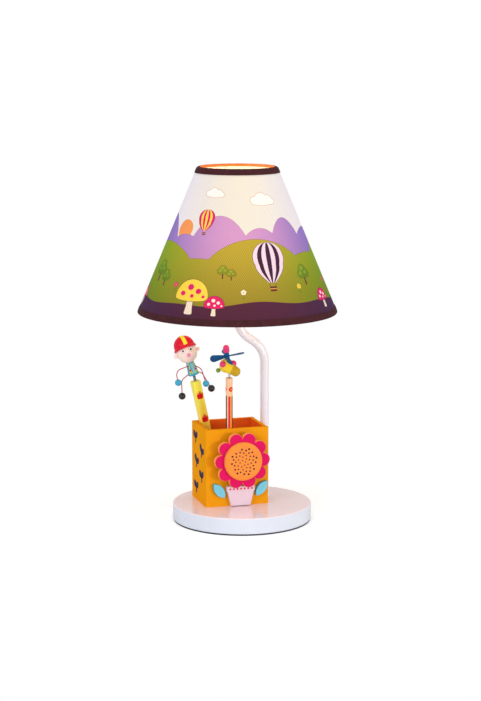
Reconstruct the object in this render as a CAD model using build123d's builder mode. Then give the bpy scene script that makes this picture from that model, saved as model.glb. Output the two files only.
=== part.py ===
from build123d import *

import math
import os

# Desk lamp with a pen box: a cone shade on a cranked pole, an open box on a round foot, and two
# pens whose toppers wobble on springs. All sizes are in millimetres.
# X runs to the right along the box front, -Y is the front and +Z is up. The origin is the centre
# of the foot's underside.

# Clearances that several pieces share
cut_overrun = 2.0
slip_gap = 0.05
turn_gap = 0.1
rest_gap = 0.3

# Foot: a round board on a thin dark pad
foot_radius = 87.0
foot_thickness = 20.0
foot_edge_round = 1.5
pad_thickness = 1.5
pad_inset = 1.0

# Pole: one tube, cranked so that the shade hangs over the foot
pole_x = 37.5
pole_y = 24.5
pole_bore_radius = 4.0
pole_wall = 1.5
spigot_wall = 1.0
pole_crank = 36.0
pole_crank_middle = 223.6
pole_crank_angle = 56.0
pole_bend_radius = 34.0
pole_upper_length = 57.4
top_spigot_length = 8.0
collar_wall = 1.25
collar_height = 3.0

# Nut and washer under the foot, in a recess that the lead crosses
washer_radius = 10.0
washer_thickness = 1.5
nut_flats = 16.0
nut_height = 5.0
thread_projection = 1.5
recess_headroom = 3.0
recess_clearance = 2.0
groove_width = 9.0

# Inlet for the lead, in the rim of the foot behind the pole
inlet_wall = 14.0
inlet_height = 7.0
grommet_radius = 4.5
grommet_bore_radius = 3.2
grommet_flange_radius = 6.5
grommet_flange = 1.5

# Pen box: five boards, screwed down from under the foot
box_x = -11.45
box_y = 14.75
box_width = 81.1
box_depth = 65.5
box_height = 98.0
box_wall = 5.2
box_edge_round = 1.0
screw_radius = 2.0
screw_head_radius = 4.0
screw_head_angle = 90.0
screw_bite = 4.5
screw_spread = 36.0

# Potted flower on the box front, cut from board
flower_offset = 3.0
flower_height = 59.5
petal_count = 10
petal_ring_radius = 27.0
petal_radius = 8.7
petal_thickness = 6.0
petal_edge_round = 1.2
relief_gap = 1.0
dowel_radius = 5.0
centre_radius = 24.0
centre_thickness = 6.0
centre_edge_round = 2.0
pot_gap = 1.0
pot_height = 25.0
pot_top_width = 34.0
pot_bottom_width = 25.0
pot_rim_width = 36.0
pot_rim_height = 7.0
pot_thickness = 6.0
leaf_gap = 9.5
leaf_height = 21.0
leaf_length = 23.0
leaf_width = 11.5
leaf_tilt = 38.0
leaf_thickness = 5.0
relief_edge_round = 0.8

# Lampholder: cap, shell with a flange, insulating core, screw shell and centre contact
holder_wall = 3.1
cap_height = 16.0
cap_floor = 7.0
cap_foot_radius = 11.0
cap_bulge = 2.0
core_ledge = 2.0
shell_height = 54.0
flange_height = 36.0
flange_reach = 4.4
flange_thickness = 2.0
core_height = 18.0
core_margin = 2.25
wire_hole_radius = 2.0
wire_hole_spread = 20.0
bulb_play = 0.5
screw_shell_wall = 0.5
screw_shell_length = 28.0
screw_shell_collar = 0.8
contact_span = 15.0
contact_width = 5.0
contact_rise = 3.0
contact_thickness = 0.5

# Ring nut that clamps the shade on the flange
ring_nut_wall = 5.9
ring_nut_height = 8.0
ring_nut_grips = 18
ring_nut_grip_radius = 1.2

# Turn switch on the lampholder
switch_shaft_radius = 2.0
switch_shaft_root = 7.0
switch_hole_gap = 0.3
knob_gap = 1.0
knob_radius = 4.8
knob_length = 13.0
knob_socket = 8.0
knob_end_round = 1.5
knob_flutes = 8
knob_flute_radius = 0.9

# Bulb with a screw cap
bulb_contact_radius = 4.5
bulb_contact_height = 2.0
bulb_insulator_height = 3.5
bulb_cap_radius = 13.2
bulb_cap_length = 27.0
bulb_cap_flare = 3.0
bulb_neck_step = 0.6
bulb_radius = 30.0
bulb_height = 78.0
bulb_neck_angle = 38.0
bulb_wall = 0.9

# Shade: a cone of stiffened cloth, with bound edges, on a wire frame
shade_bottom = 259.4
shade_top = 442.0
shade_bottom_radius = 126.1
shade_top_radius = 50.2
skin_thickness = 0.8
trim_thickness = 0.6
trim_width = 8.5
trim_return = 3.6
ring_wire_radius = 1.6
ring_edge_share = 0.15
spoke_radius = 0.95
spoke_count = 3
spoke_bend_radius = 10.0
spoke_lap = 2.0
fitter_reach = 4.5
fitter_play = 0.9
fitter_thickness = 1.5

# Springs that carry the toppers
neck_wire_radius = 0.3
neck_coil_radius = 1.4
neck_end_bend = 0.65

# Doll pen: a square barrel that leans on the left board, with a doll on top
doll_pen_lean = 12.4
doll_pen_back_gap = 6.37
doll_barrel_width = 10.5
doll_barrel_turn = 8.0
doll_barrel_round = 0.8
doll_pen_length = 150.0
doll_point_length = 12.0
doll_point_radius = 3.6
doll_ball_radius = 0.5
doll_neck_length = 8.5
doll_neck_turns = 5
doll_tilt = 5.0
torso_radius = 7.1
torso_top_radius = 4.9
torso_height = 17.8
torso_edge_round = 0.6
head_radius = 12.9
head_sink = 1.3
ear_radius = 2.6
ear_stand = 2.0
helmet_height = 17.3
helmet_tip = 22.0
helmet_brim_lift = 5.1
helmet_brim_reach = 2.7
helmet_brim_thickness = 1.1
helmet_wall = 0.2
helmet_flare = 2.4
stripe_width = 4.7
stripe_thickness = 0.5
limb_radius = 0.6
limb_bend_radius = 8.0
limb_depth = 2.0
limb_layer = 3.6
shoulder_share = 0.76
hip_share = 0.24
hand_radius = 4.2
foot_bead_radius = 4.5
left_hand_reach = 22.8
left_hand_drop = 1.9
left_foot_reach = 22.6
left_foot_drop = 21.0
right_hand_gap = 0.6
right_hand_drop = 15.7
right_foot_gap = 5.8
right_foot_drop = 25.0
left_elbow_share = 0.94
left_knee_share = 0.76
right_elbow_share = 0.25
knee_drop = 1.5

# Helicopter pencil: a round pencil that leans on the front board, with a helicopter on top
pencil_turn = -17.0
pencil_lean = 8.0
pencil_from_left = 27.77
pencil_radius = 4.35
pencil_length = 158.7
pencil_cone_length = 19.0
pencil_top_round = 0.5
lead_radius = 1.1
lead_tip_radius = 0.3
helicopter_neck_length = 8.0
helicopter_neck_turns = 5
helicopter_tilt = 6.5
hull_offset = 2.2
hull_lift = 8.1
hull_radius = 9.1
hull_nose_radius = 6.2
hull_nose_reach = 13.5
hull_waist = 0.7
nose_turn = -28.0
nose_dip = 31.0
socket_gap = 0.4
button_radius = 3.9
button_turns = (-122.0, -8.0)
button_rises = (30.0, 14.0)
tail_turn = 172.0
tail_dip = 26.0
tail_peg_radius = 1.2
tail_peg_seat = 2.0
tail_ball_reach = 12.4
tail_ball_radius = 2.9

# Rotor: four pitched paddles and a cap on a pin
rotor_pin_radius = 1.0
rotor_pin_tip = 10.0
rotor_pin_root = 3.1
rotor_shoulder_radius = 1.8
rotor_shoulder_lift = 0.8
rotor_hub_radius = 2.9
rotor_hub_height = 9.5
rotor_cap_radius = 3.8
rotor_cap_height = 9.0
rotor_cap_flat = 0.4
rotor_cap_foot_round = 0.8
rotor_cap_bore = 5.0
blade_count = 4
blade_lift = 3.4
blade_start_turn = 10.0
blade_root_radius = 1.9
blade_tip_radius = 4.5
blade_reach = 21.5
blade_pitch = 38.0
blade_thickness = 1.2

# Radii of the pole and of what goes on it
pole_radius = pole_bore_radius + pole_wall
spigot_radius = pole_bore_radius + spigot_wall
collar_radius = pole_radius + collar_wall
pole_shoulder = pole_crank_middle + pole_upper_length

# Heights that follow from the foot and its recess
foot_top = pad_thickness + foot_thickness
recess_depth = washer_thickness + nut_height + thread_projection + recess_headroom
recess_top = pad_thickness + recess_depth
recess_radius = washer_radius + recess_clearance
spigot_bottom = recess_top - washer_thickness - nut_height - thread_projection
inlet_turn = math.atan2(pole_y, pole_x)
inlet_direction = Vector(math.cos(inlet_turn), math.sin(inlet_turn), 0)

# Places on the box
box_left = box_x - box_width / 2
box_right = box_x + box_width / 2
box_front = box_y - box_depth / 2
box_back = box_y + box_depth / 2
box_floor_top = foot_top + box_wall
box_rim = foot_top + box_height

# Places of the flower's pieces
flower_standoff = pot_thickness + relief_gap
leaf_spread = pot_rim_width / 2 + leaf_gap

# Axis, radii and heights of the lampholder
shade_x = pole_x - pole_crank
shade_y = pole_y
sleeve_inner_radius = bulb_cap_radius + bulb_play
sleeve_radius = sleeve_inner_radius + screw_shell_wall
core_radius = sleeve_radius + core_margin
holder_inner_radius = core_radius + slip_gap
holder_radius = holder_inner_radius + holder_wall
flange_radius = holder_radius + flange_reach
ring_nut_radius = holder_radius + ring_nut_wall
fitter_radius = ring_nut_radius + fitter_reach
bulb_neck_radius = bulb_cap_radius + bulb_neck_step
shell_bottom = pole_shoulder + cap_height
core_top = shell_bottom + core_height
flange_top = shell_bottom + flange_height
fitter_bottom = flange_top + turn_gap
ring_nut_bottom = fitter_bottom + fitter_thickness + turn_gap
switch_height = shell_bottom + core_height / 2
knob_start = holder_radius + knob_gap
bulb_bottom = core_top + contact_rise + turn_gap
lamp_axis = Axis((shade_x, shade_y, 0), (0, 0, 1))

# Slope of the shade
shade_slope = math.atan2(shade_bottom_radius - shade_top_radius, shade_top - shade_bottom)


def upright(plane: Plane) -> Plane:
    """The plane through another's axis: its x stays, and its y runs along that axis."""
    return Plane(origin=plane.origin, x_dir=plane.x_dir, z_dir=plane.y_dir * -1)


def stem(plane: Plane) -> Axis:
    """The axis that stands on a plane."""
    return Axis(plane.origin, plane.z_dir)


def tipped(plane: Plane, height: float, angle: float) -> Plane:
    """A plane that far up another's axis, tipped towards its -x side by an angle in degrees."""
    raised = plane.offset(height)
    turn = math.radians(angle)
    return Plane(
        origin=raised.origin,
        x_dir=raised.x_dir * math.cos(turn) + raised.z_dir * math.sin(turn),
        z_dir=raised.z_dir * math.cos(turn) - raised.x_dir * math.sin(turn),
    )


def nodded(plane: Plane, angle: float) -> Plane:
    """A plane tipped about its own x axis, towards its -y side, by an angle in degrees."""
    turn = math.radians(angle)
    return Plane(
        origin=plane.origin,
        x_dir=plane.x_dir,
        z_dir=plane.z_dir * math.cos(turn) - plane.y_dir * math.sin(turn),
    )


def pointing(plane: Plane, centre: Vector, turn: float, rise: float) -> Plane:
    """A plane at a point whose axis is turned and raised, in degrees, within another plane."""
    flat = plane.x_dir * math.cos(math.radians(turn)) + plane.y_dir * math.sin(math.radians(turn))
    up = plane.z_dir * math.sin(math.radians(rise))
    return Plane(origin=centre, z_dir=flat * math.cos(math.radians(rise)) + up)


def pitched(plane: Plane, turn: float, pitch: float) -> Plane:
    """A plane with its x axis turned within another plane, then rolled about that x axis."""
    angle = math.radians(turn)
    out = plane.x_dir * math.cos(angle) + plane.y_dir * math.sin(angle)
    across = plane.y_dir * math.cos(angle) - plane.x_dir * math.sin(angle)
    roll = math.radians(pitch)
    up = plane.z_dir * math.cos(roll) + across * math.sin(roll)
    return Plane(origin=plane.origin, x_dir=out, z_dir=up)


def shade_point(height: float, depth: float) -> tuple[float, float]:
    """Radius and height of a point that far under the shade's outermost surface."""
    fall = (height - shade_bottom) * math.tan(shade_slope)
    return shade_bottom_radius - fall - depth / math.cos(shade_slope), height


def biarc(start: Vector, start_tangent: Vector, end: Vector, end_tangent: Vector) -> None:
    """Two arcs that leave one point and reach another along the given tangents."""
    chord = end - start
    both = start_tangent + end_tangent
    spread = 1 - start_tangent.dot(end_tangent)
    along = chord.dot(both)
    reach = (math.sqrt(along**2 + 2 * spread * chord.dot(chord)) - along) / (2 * spread)
    near = start + start_tangent * reach
    far = end - end_tangent * reach
    joint = (near + far) * 0.5
    TangentArc(start, joint, tangent=start_tangent)
    TangentArc(joint, end, tangent=(far - near).normalized())


def wind_neck(plane: Plane, length: float, turns: int) -> None:
    """The path of a coil spring: straight ends, one bend each, and biarcs of a quarter turn."""
    lead = 2 * neck_wire_radius
    rise = length - 2 * (lead + neck_end_bend)
    quarters = 4 * turns
    slope = rise / (2 * math.pi * neck_coil_radius * turns)

    def spot(x: float, y: float, z: float) -> Vector:
        return plane.from_local_coords(Vector(x, y, z))

    def heading(x: float, y: float, z: float) -> Vector:
        return (spot(x, y, z) - spot(0, 0, 0)).normalized()

    low = lead + neck_end_bend
    foot = spot(neck_coil_radius, -neck_end_bend, lead)
    first = spot(neck_coil_radius, 0, low)
    Line(spot(neck_coil_radius, -neck_end_bend, 0), foot)
    TangentArc(foot, first, tangent=heading(0, 0, 1))
    point, tangent = first, heading(0, 1, 0)
    for quarter in range(1, quarters + 1):
        turn = quarter * math.pi / 2
        share = quarter / quarters
        climb = 0 if quarter == quarters else slope
        circle = (neck_coil_radius * math.cos(turn), neck_coil_radius * math.sin(turn))
        following = spot(*circle, low + rise * share)
        following_tangent = heading(-math.sin(turn), math.cos(turn), climb)
        biarc(point, tangent, following, following_tangent)
        point, tangent = following, following_tangent
    top = spot(neck_coil_radius, neck_end_bend, length - lead)
    TangentArc(point, top, tangent=tangent)
    Line(top, spot(neck_coil_radius, neck_end_bend, length))


def least_gap(path: Wire, samples: int = 400) -> float:
    """The least gap between turns of a wound wire, measured on points along its path."""
    points = [path.position_at(index / samples) for index in range(samples + 1)]
    apart = math.ceil(samples * math.pi * neck_coil_radius / path.length)
    pairs = (
        (points[i] - points[j]).length
        for i in range(len(points))
        for j in range(i + apart, len(points))
    )
    return min(pairs) - 2 * neck_wire_radius


# Foot
inlet_plane = Plane(
    origin=inlet_direction * foot_radius + Vector(0, 0, pad_thickness + inlet_height),
    x_dir=(0, 0, 1),
    z_dir=inlet_direction,
)
groove_plane = Plane(
    origin=(pole_x, pole_y, pad_thickness - cut_overrun), x_dir=inlet_direction, z_dir=(0, 0, 1)
)
groove_length = foot_radius - inlet_wall - math.hypot(pole_x, pole_y)
screw_spots = [(box_x - screw_spread / 2, box_y), (box_x + screw_spread / 2, box_y)]

with BuildPart() as foot_disc:
    with BuildSketch(Plane.XY.offset(pad_thickness)):
        Circle(foot_radius)
    extrude(amount=foot_thickness)
    fillet(foot_disc.edges().filter_by(GeomType.CIRCLE), foot_edge_round)
    with BuildSketch(Plane.XY.offset(pad_thickness - cut_overrun)):
        with Locations((pole_x, pole_y)):
            Circle(spigot_radius + slip_gap)
    extrude(amount=foot_thickness + 2 * cut_overrun, mode=Mode.SUBTRACT)
    with BuildSketch(Plane.XY.offset(pad_thickness - cut_overrun)):
        with Locations((pole_x, pole_y)):
            Circle(recess_radius)
    extrude(amount=recess_depth + cut_overrun, mode=Mode.SUBTRACT)
    with BuildSketch(groove_plane):
        Rectangle(groove_length, groove_width, align=(Align.MIN, Align.CENTER))
    extrude(amount=recess_depth + cut_overrun, mode=Mode.SUBTRACT)
    with BuildSketch(inlet_plane.offset(cut_overrun)):
        Circle(grommet_radius + slip_gap)
    extrude(amount=-(inlet_wall + 2 * cut_overrun), mode=Mode.SUBTRACT)
    with Locations(*[Plane(origin=(x, y, pad_thickness), z_dir=(0, 0, -1)) for x, y in screw_spots]):
        CounterSinkHole(
            screw_radius + slip_gap,
            screw_head_radius + slip_gap,
            depth=foot_thickness + cut_overrun,
            counter_sink_angle=screw_head_angle,
        )

with BuildPart() as foot_pad:
    with BuildSketch():
        Circle(foot_radius - pad_inset)
    extrude(amount=pad_thickness)

with BuildPart() as cord_grommet:
    with BuildSketch(inlet_plane):
        Circle(grommet_radius)
    extrude(amount=-inlet_wall)
    with BuildSketch(inlet_plane):
        Circle(grommet_flange_radius)
    extrude(amount=grommet_flange)
    outer_rim = cord_grommet.faces().sort_by(Axis(inlet_plane.origin, inlet_direction))[-1]
    fillet(outer_rim.edges(), grommet_flange / 2)
    with BuildSketch(inlet_plane.offset(grommet_flange + cut_overrun)):
        Circle(grommet_bore_radius)
    extrude(amount=-(inlet_wall + grommet_flange + 2 * cut_overrun), mode=Mode.SUBTRACT)

# Pole with its collar, washer and nut
crank_half_rise = pole_crank / 2 / math.tan(math.radians(pole_crank_angle))
crank_low = (pole_x, pole_y, pole_crank_middle - crank_half_rise)
crank_high = (shade_x, shade_y, pole_crank_middle + crank_half_rise)
pole_top = pole_shoulder + top_spigot_length

with BuildPart() as pole:
    with BuildLine() as pole_path:
        FilletPolyline(
            (pole_x, pole_y, foot_top),
            crank_low,
            crank_high,
            (shade_x, shade_y, pole_shoulder),
            radius=pole_bend_radius,
        )
    with BuildSketch(Plane(origin=(pole_x, pole_y, foot_top))):
        Circle(pole_radius)
    sweep(path=pole_path.wires()[0])
    with BuildSketch(Plane(origin=(pole_x, pole_y, spigot_bottom))):
        Circle(spigot_radius)
    extrude(amount=foot_top - spigot_bottom)
    with BuildSketch(Plane(origin=(shade_x, shade_y, pole_shoulder))):
        Circle(spigot_radius)
    extrude(amount=top_spigot_length)
    with BuildLine() as bore_path:
        FilletPolyline(
            (pole_x, pole_y, spigot_bottom - cut_overrun),
            crank_low,
            crank_high,
            (shade_x, shade_y, pole_top + cut_overrun),
            radius=pole_bend_radius,
        )
    with BuildSketch(Plane(origin=(pole_x, pole_y, spigot_bottom - cut_overrun))):
        Circle(pole_bore_radius)
    sweep(path=bore_path.wires()[0], mode=Mode.SUBTRACT)

with BuildPart() as pole_collar:
    with BuildSketch(Plane(origin=(pole_x, pole_y, foot_top))):
        Circle(collar_radius)
    extrude(amount=collar_height)
    fillet(pole_collar.edges().group_by(Axis.Z)[-1], collar_wall / 2)
    with BuildSketch(Plane(origin=(pole_x, pole_y, foot_top - cut_overrun))):
        Circle(pole_radius + slip_gap)
    extrude(amount=collar_height + 2 * cut_overrun, mode=Mode.SUBTRACT)

with BuildPart() as pole_washer:
    with BuildSketch(Plane(origin=(pole_x, pole_y, recess_top))):
        Circle(washer_radius)
        Circle(spigot_radius + slip_gap, mode=Mode.SUBTRACT)
    extrude(amount=-washer_thickness)

with BuildPart() as pole_nut:
    with BuildSketch(Plane(origin=(pole_x, pole_y, recess_top - washer_thickness))):
        RegularPolygon(nut_flats / 2, 6, major_radius=False)
        Circle(spigot_radius + slip_gap, mode=Mode.SUBTRACT)
    extrude(amount=-nut_height)

# Pen box
inner_width = box_width - 2 * box_wall
inner_depth = box_depth - 2 * box_wall
screw_head_height = (screw_head_radius - screw_radius) / math.tan(math.radians(screw_head_angle / 2))

with BuildPart() as box_screws:
    for screw_spot in screw_spots:
        with BuildSketch(upright(Plane(origin=(*screw_spot, pad_thickness)))):
            Polygon(
                (0, 0),
                (screw_head_radius, 0),
                (screw_radius, screw_head_height),
                (screw_radius, foot_thickness + screw_bite),
                (0, foot_thickness + screw_bite),
                align=None,
            )
        revolve(axis=Axis((*screw_spot, 0), (0, 0, 1)))

with BuildPart() as box_floor:
    with BuildSketch(Plane(origin=(box_x, box_y, foot_top))):
        Rectangle(inner_width, inner_depth)
    extrude(amount=box_wall)
    with BuildSketch(Plane.XY.offset(foot_top - cut_overrun)):
        with Locations(*screw_spots):
            Circle(screw_radius + slip_gap)
    extrude(amount=cut_overrun + screw_bite + slip_gap, mode=Mode.SUBTRACT)

with BuildPart() as box_front_board:
    with BuildSketch(Plane(origin=(box_x, box_front + box_wall / 2, foot_top))):
        Rectangle(box_width, box_wall)
    extrude(amount=box_height)
    front_face = box_front_board.faces().sort_by(Axis.Y)[0]
    fillet(front_face.edges().group_by(Axis.Z)[1:], box_edge_round)

with BuildPart() as box_back_board:
    with BuildSketch(Plane(origin=(box_x, box_back - box_wall / 2, foot_top))):
        Rectangle(box_width, box_wall)
    extrude(amount=box_height)
    back_face = box_back_board.faces().sort_by(Axis.Y)[-1]
    fillet(back_face.edges().group_by(Axis.Z)[1:], box_edge_round)

with BuildPart() as box_left_board:
    with BuildSketch(Plane(origin=(box_left + box_wall / 2, box_y, foot_top))):
        Rectangle(box_wall, inner_depth)
    extrude(amount=box_height)
    fillet(box_left_board.edges().group_by(Axis.Z)[-1].sort_by(Axis.X)[0], box_edge_round)

with BuildPart() as box_right_board:
    with BuildSketch(Plane(origin=(box_right - box_wall / 2, box_y, foot_top))):
        Rectangle(box_wall, inner_depth)
    extrude(amount=box_height)
    fillet(box_right_board.edges().group_by(Axis.Z)[-1].sort_by(Axis.X)[-1], box_edge_round)

# Potted flower: planes look out of the box front, with x to the right and y up
front_plane = Plane(origin=(box_x + flower_offset, box_front, foot_top), x_dir=(1, 0, 0), z_dir=(0, -1, 0))
flower_plane = Plane(
    origin=front_plane.origin + Vector(0, 0, flower_height), x_dir=(1, 0, 0), z_dir=(0, -1, 0)
)
outwards = Axis((0, 0, 0), (0, -1, 0))

with BuildPart() as flower_dowel:
    with BuildSketch(flower_plane):
        Circle(dowel_radius)
    extrude(amount=flower_standoff)

with BuildPart() as flower_petals:
    with BuildSketch(flower_plane.offset(flower_standoff)):
        Circle(petal_ring_radius)
        with PolarLocations(petal_ring_radius, petal_count):
            Circle(petal_radius)
    extrude(amount=petal_thickness)
    fillet(flower_petals.faces().sort_by(outwards)[-1].edges(), petal_edge_round)

with BuildPart() as flower_centre:
    with BuildSketch(flower_plane.offset(flower_standoff + petal_thickness)):
        Circle(centre_radius)
    extrude(amount=centre_thickness)
    fillet(flower_centre.faces().sort_by(outwards)[-1].edges(), centre_edge_round)

with BuildPart() as flower_pot:
    with BuildSketch(front_plane):
        rim_foot = pot_gap + pot_height - pot_rim_height
        Polygon(
            (-pot_bottom_width / 2, pot_gap),
            (pot_bottom_width / 2, pot_gap),
            (pot_top_width / 2, rim_foot),
            (pot_rim_width / 2, rim_foot),
            (pot_rim_width / 2, pot_gap + pot_height),
            (-pot_rim_width / 2, pot_gap + pot_height),
            (-pot_rim_width / 2, rim_foot),
            (-pot_top_width / 2, rim_foot),
            align=None,
        )
    extrude(amount=pot_thickness)
    fillet(flower_pot.faces().sort_by(outwards)[-1].edges(), relief_edge_round)


def leaf_plane(side: int) -> Plane:
    """A plane on the box front at one leaf, with x along the leaf."""
    turn = math.radians(90 - side * leaf_tilt)
    spot = front_plane.from_local_coords(Vector(side * leaf_spread, leaf_height, 0))
    return Plane(origin=spot, x_dir=(math.cos(turn), 0, math.sin(turn)), z_dir=(0, -1, 0))


leaf_parts = {}
for leaf_side, leaf_name in ((-1, "leaf_left"), (1, "leaf_right")):
    with BuildPart() as leaf:
        with BuildSketch(leaf_plane(leaf_side)):
            with BuildLine():
                ThreePointArc((-leaf_length / 2, 0), (0, leaf_width / 2), (leaf_length / 2, 0))
                ThreePointArc((leaf_length / 2, 0), (0, -leaf_width / 2), (-leaf_length / 2, 0))
            make_face()
        extrude(amount=leaf_thickness)
        fillet(leaf.faces().sort_by(outwards)[-1].edges(), relief_edge_round)
    leaf_parts[leaf_name] = leaf

# Lampholder, on the top spigot of the pole
holder_plane = Plane(origin=(shade_x, shade_y, pole_shoulder))
shell_plane = Plane(origin=(shade_x, shade_y, shell_bottom))
core_plane = Plane(origin=(shade_x, shade_y, core_top))
switch_plane = Plane(origin=(shade_x, shade_y, switch_height), x_dir=(0, 1, 0), z_dir=(1, 0, 0))
spigot_hole = spigot_radius + slip_gap
cap_inner_radius = holder_inner_radius - core_ledge

with BuildPart() as holder_cap:
    with BuildSketch(upright(holder_plane)):
        with BuildLine():
            Line((spigot_hole, 0), (cap_foot_radius, 0))
            SagittaArc((cap_foot_radius, 0), (holder_radius, cap_floor), -cap_bulge)
            Polyline(
                (holder_radius, cap_floor),
                (holder_radius, cap_height),
                (cap_inner_radius, cap_height),
                (cap_inner_radius, cap_floor),
                (spigot_hole, cap_floor),
                (spigot_hole, 0),
            )
        make_face()
    revolve(axis=lamp_axis)

with BuildPart() as holder_shell:
    with BuildSketch(upright(shell_plane)):
        Polygon(
            (holder_inner_radius, 0),
            (holder_radius, 0),
            (holder_radius, flange_height - flange_thickness),
            (flange_radius, flange_height - flange_thickness),
            (flange_radius, flange_height),
            (holder_radius, flange_height),
            (holder_radius, shell_height),
            (holder_inner_radius, shell_height),
            align=None,
        )
    revolve(axis=lamp_axis)
    with BuildSketch(switch_plane.offset(holder_inner_radius - cut_overrun)):
        Circle(switch_shaft_radius + switch_hole_gap)
    extrude(amount=holder_wall + 2 * cut_overrun, mode=Mode.SUBTRACT)

with BuildPart() as holder_core:
    with BuildSketch(shell_plane):
        Circle(core_radius)
        with Locations((0, -wire_hole_spread / 2), (0, wire_hole_spread / 2)):
            Circle(wire_hole_radius, mode=Mode.SUBTRACT)
    extrude(amount=core_height)
    with BuildSketch(switch_plane.offset(switch_shaft_root - turn_gap)):
        Circle(switch_shaft_radius + slip_gap)
    extrude(amount=core_radius, mode=Mode.SUBTRACT)

with BuildPart() as screw_shell:
    with BuildSketch(upright(core_plane)):
        Polygon(
            (sleeve_inner_radius, 0),
            (core_radius, 0),
            (core_radius, screw_shell_collar),
            (sleeve_radius, screw_shell_collar),
            (sleeve_radius, screw_shell_length),
            (sleeve_inner_radius, screw_shell_length),
            align=None,
        )
    revolve(axis=lamp_axis)

with BuildPart() as centre_contact:
    with BuildSketch(upright(core_plane)):
        with BuildLine():
            inner_half = contact_span / 2 - contact_thickness
            ThreePointArc((-contact_span / 2, 0), (0, contact_rise), (contact_span / 2, 0))
            Line((contact_span / 2, 0), (inner_half, 0))
            ThreePointArc((inner_half, 0), (0, contact_rise - contact_thickness), (-inner_half, 0))
            Line((-inner_half, 0), (-contact_span / 2, 0))
        make_face()
    extrude(amount=contact_width / 2, both=True)

with BuildPart() as ring_nut:
    with BuildSketch(Plane(origin=(shade_x, shade_y, ring_nut_bottom))):
        Circle(ring_nut_radius)
        Circle(holder_radius + slip_gap, mode=Mode.SUBTRACT)
        with PolarLocations(ring_nut_radius, ring_nut_grips):
            Circle(ring_nut_grip_radius, mode=Mode.SUBTRACT)
    extrude(amount=ring_nut_height)

with BuildPart() as switch_shaft:
    with BuildSketch(switch_plane.offset(switch_shaft_root)):
        Circle(switch_shaft_radius)
    extrude(amount=knob_start + knob_socket - switch_shaft_root)

with BuildPart() as switch_knob:
    with BuildSketch(switch_plane.offset(knob_start)):
        Circle(knob_radius)
    extrude(amount=knob_length)
    fillet(switch_knob.edges().group_by(Axis.X)[-1], knob_end_round)
    with BuildSketch(switch_plane.offset(knob_start - cut_overrun)):
        with PolarLocations(knob_radius, knob_flutes):
            Circle(knob_flute_radius)
    extrude(amount=knob_length + 2 * cut_overrun, mode=Mode.SUBTRACT)
    with BuildSketch(switch_plane.offset(knob_start - cut_overrun)):
        Circle(switch_shaft_radius + slip_gap)
    extrude(amount=cut_overrun + knob_socket + slip_gap, mode=Mode.SUBTRACT)

# Bulb
bulb_plane = Plane(origin=(shade_x, shade_y, bulb_bottom))
glass_plane = bulb_plane.offset(bulb_contact_height + bulb_cap_length)

with BuildPart() as bulb_contact:
    with BuildSketch(bulb_plane):
        Circle(bulb_contact_radius)
    extrude(amount=bulb_contact_height)
    fillet(bulb_contact.edges().group_by(Axis.Z)[0], bulb_contact_height / 2)

with BuildPart() as bulb_cap:
    with BuildSketch(upright(bulb_plane.offset(bulb_contact_height))):
        Polygon(
            (0, 0),
            (bulb_contact_radius, 0),
            (bulb_cap_radius - bulb_contact_height, bulb_insulator_height),
            (bulb_cap_radius, bulb_insulator_height),
            (bulb_cap_radius, bulb_cap_length - bulb_cap_flare),
            (bulb_neck_radius, bulb_cap_length),
            (0, bulb_cap_length),
            align=None,
        )
    revolve(axis=lamp_axis)


def bulb_outline(inset: float) -> None:
    """Half the outline of the glass, or of the space inside it at a given inset."""
    radius = bulb_radius - inset
    centre = bulb_height - bulb_radius
    lower = math.radians(-bulb_neck_angle)
    middle = math.radians((90 - bulb_neck_angle) / 2)
    shoulder = (radius * math.cos(lower), centre + radius * math.sin(lower))
    crown = (0, centre + radius)
    ThreePointArc(crown, (radius * math.cos(middle), centre + radius * math.sin(middle)), shoulder)
    neck = (bulb_neck_radius - inset, 0)
    TangentArc(shoulder, neck, tangent=(math.sin(lower), -math.cos(lower)))
    Polyline(neck, (0, 0), crown)


with BuildPart() as bulb_glass:
    with BuildSketch(upright(glass_plane)):
        with BuildLine():
            bulb_outline(0)
        make_face()
        with BuildLine():
            bulb_outline(bulb_wall)
        make_face(mode=Mode.SUBTRACT)
    revolve(axis=lamp_axis)

# Shade
shade_plane = Plane(origin=(shade_x, shade_y, 0))
skin_outer = trim_thickness + slip_gap
skin_inner = skin_outer + skin_thickness
wire_depth = skin_inner + ring_wire_radius + slip_gap
return_outer = skin_inner + 2 * ring_wire_radius + 2 * slip_gap
return_inner = return_outer + trim_thickness

with BuildPart() as shade_skin:
    with BuildSketch(upright(shade_plane)):
        Polygon(
            shade_point(shade_bottom + skin_outer, skin_outer),
            shade_point(shade_top - skin_outer, skin_outer),
            shade_point(shade_top - skin_outer, skin_inner),
            shade_point(shade_bottom + skin_outer, skin_inner),
            align=None,
        )
    revolve(axis=lamp_axis)


def trim_outline(edge: float, side: int) -> None:
    """Section of the cloth binding, folded over one edge of the shade and round its wire ring."""
    fold = edge + side * trim_thickness
    Polygon(
        shade_point(edge, 0),
        shade_point(edge, return_inner),
        shade_point(edge + side * trim_return, return_inner),
        shade_point(edge + side * trim_return, return_outer),
        shade_point(fold, return_outer),
        shade_point(fold, trim_thickness),
        shade_point(edge + side * trim_width, trim_thickness),
        shade_point(edge + side * trim_width, 0),
        align=None,
    )


with BuildPart() as shade_bottom_trim:
    with BuildSketch(upright(shade_plane)):
        trim_outline(shade_bottom, 1)
    revolve(axis=lamp_axis)

bottom_ring_height = shade_bottom + trim_thickness + ring_wire_radius + slip_gap
top_ring_height = shade_top - trim_thickness - ring_wire_radius - slip_gap
bottom_ring_radius = shade_point(bottom_ring_height, wire_depth)[0]
top_ring_radius = shade_point(top_ring_height, wire_depth)[0]
slope_reach = math.cos(shade_slope) + math.sin(shade_slope)
top_ring_width = 2 * ring_wire_radius / ((1 - ring_edge_share) * slope_reach + ring_edge_share)

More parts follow.
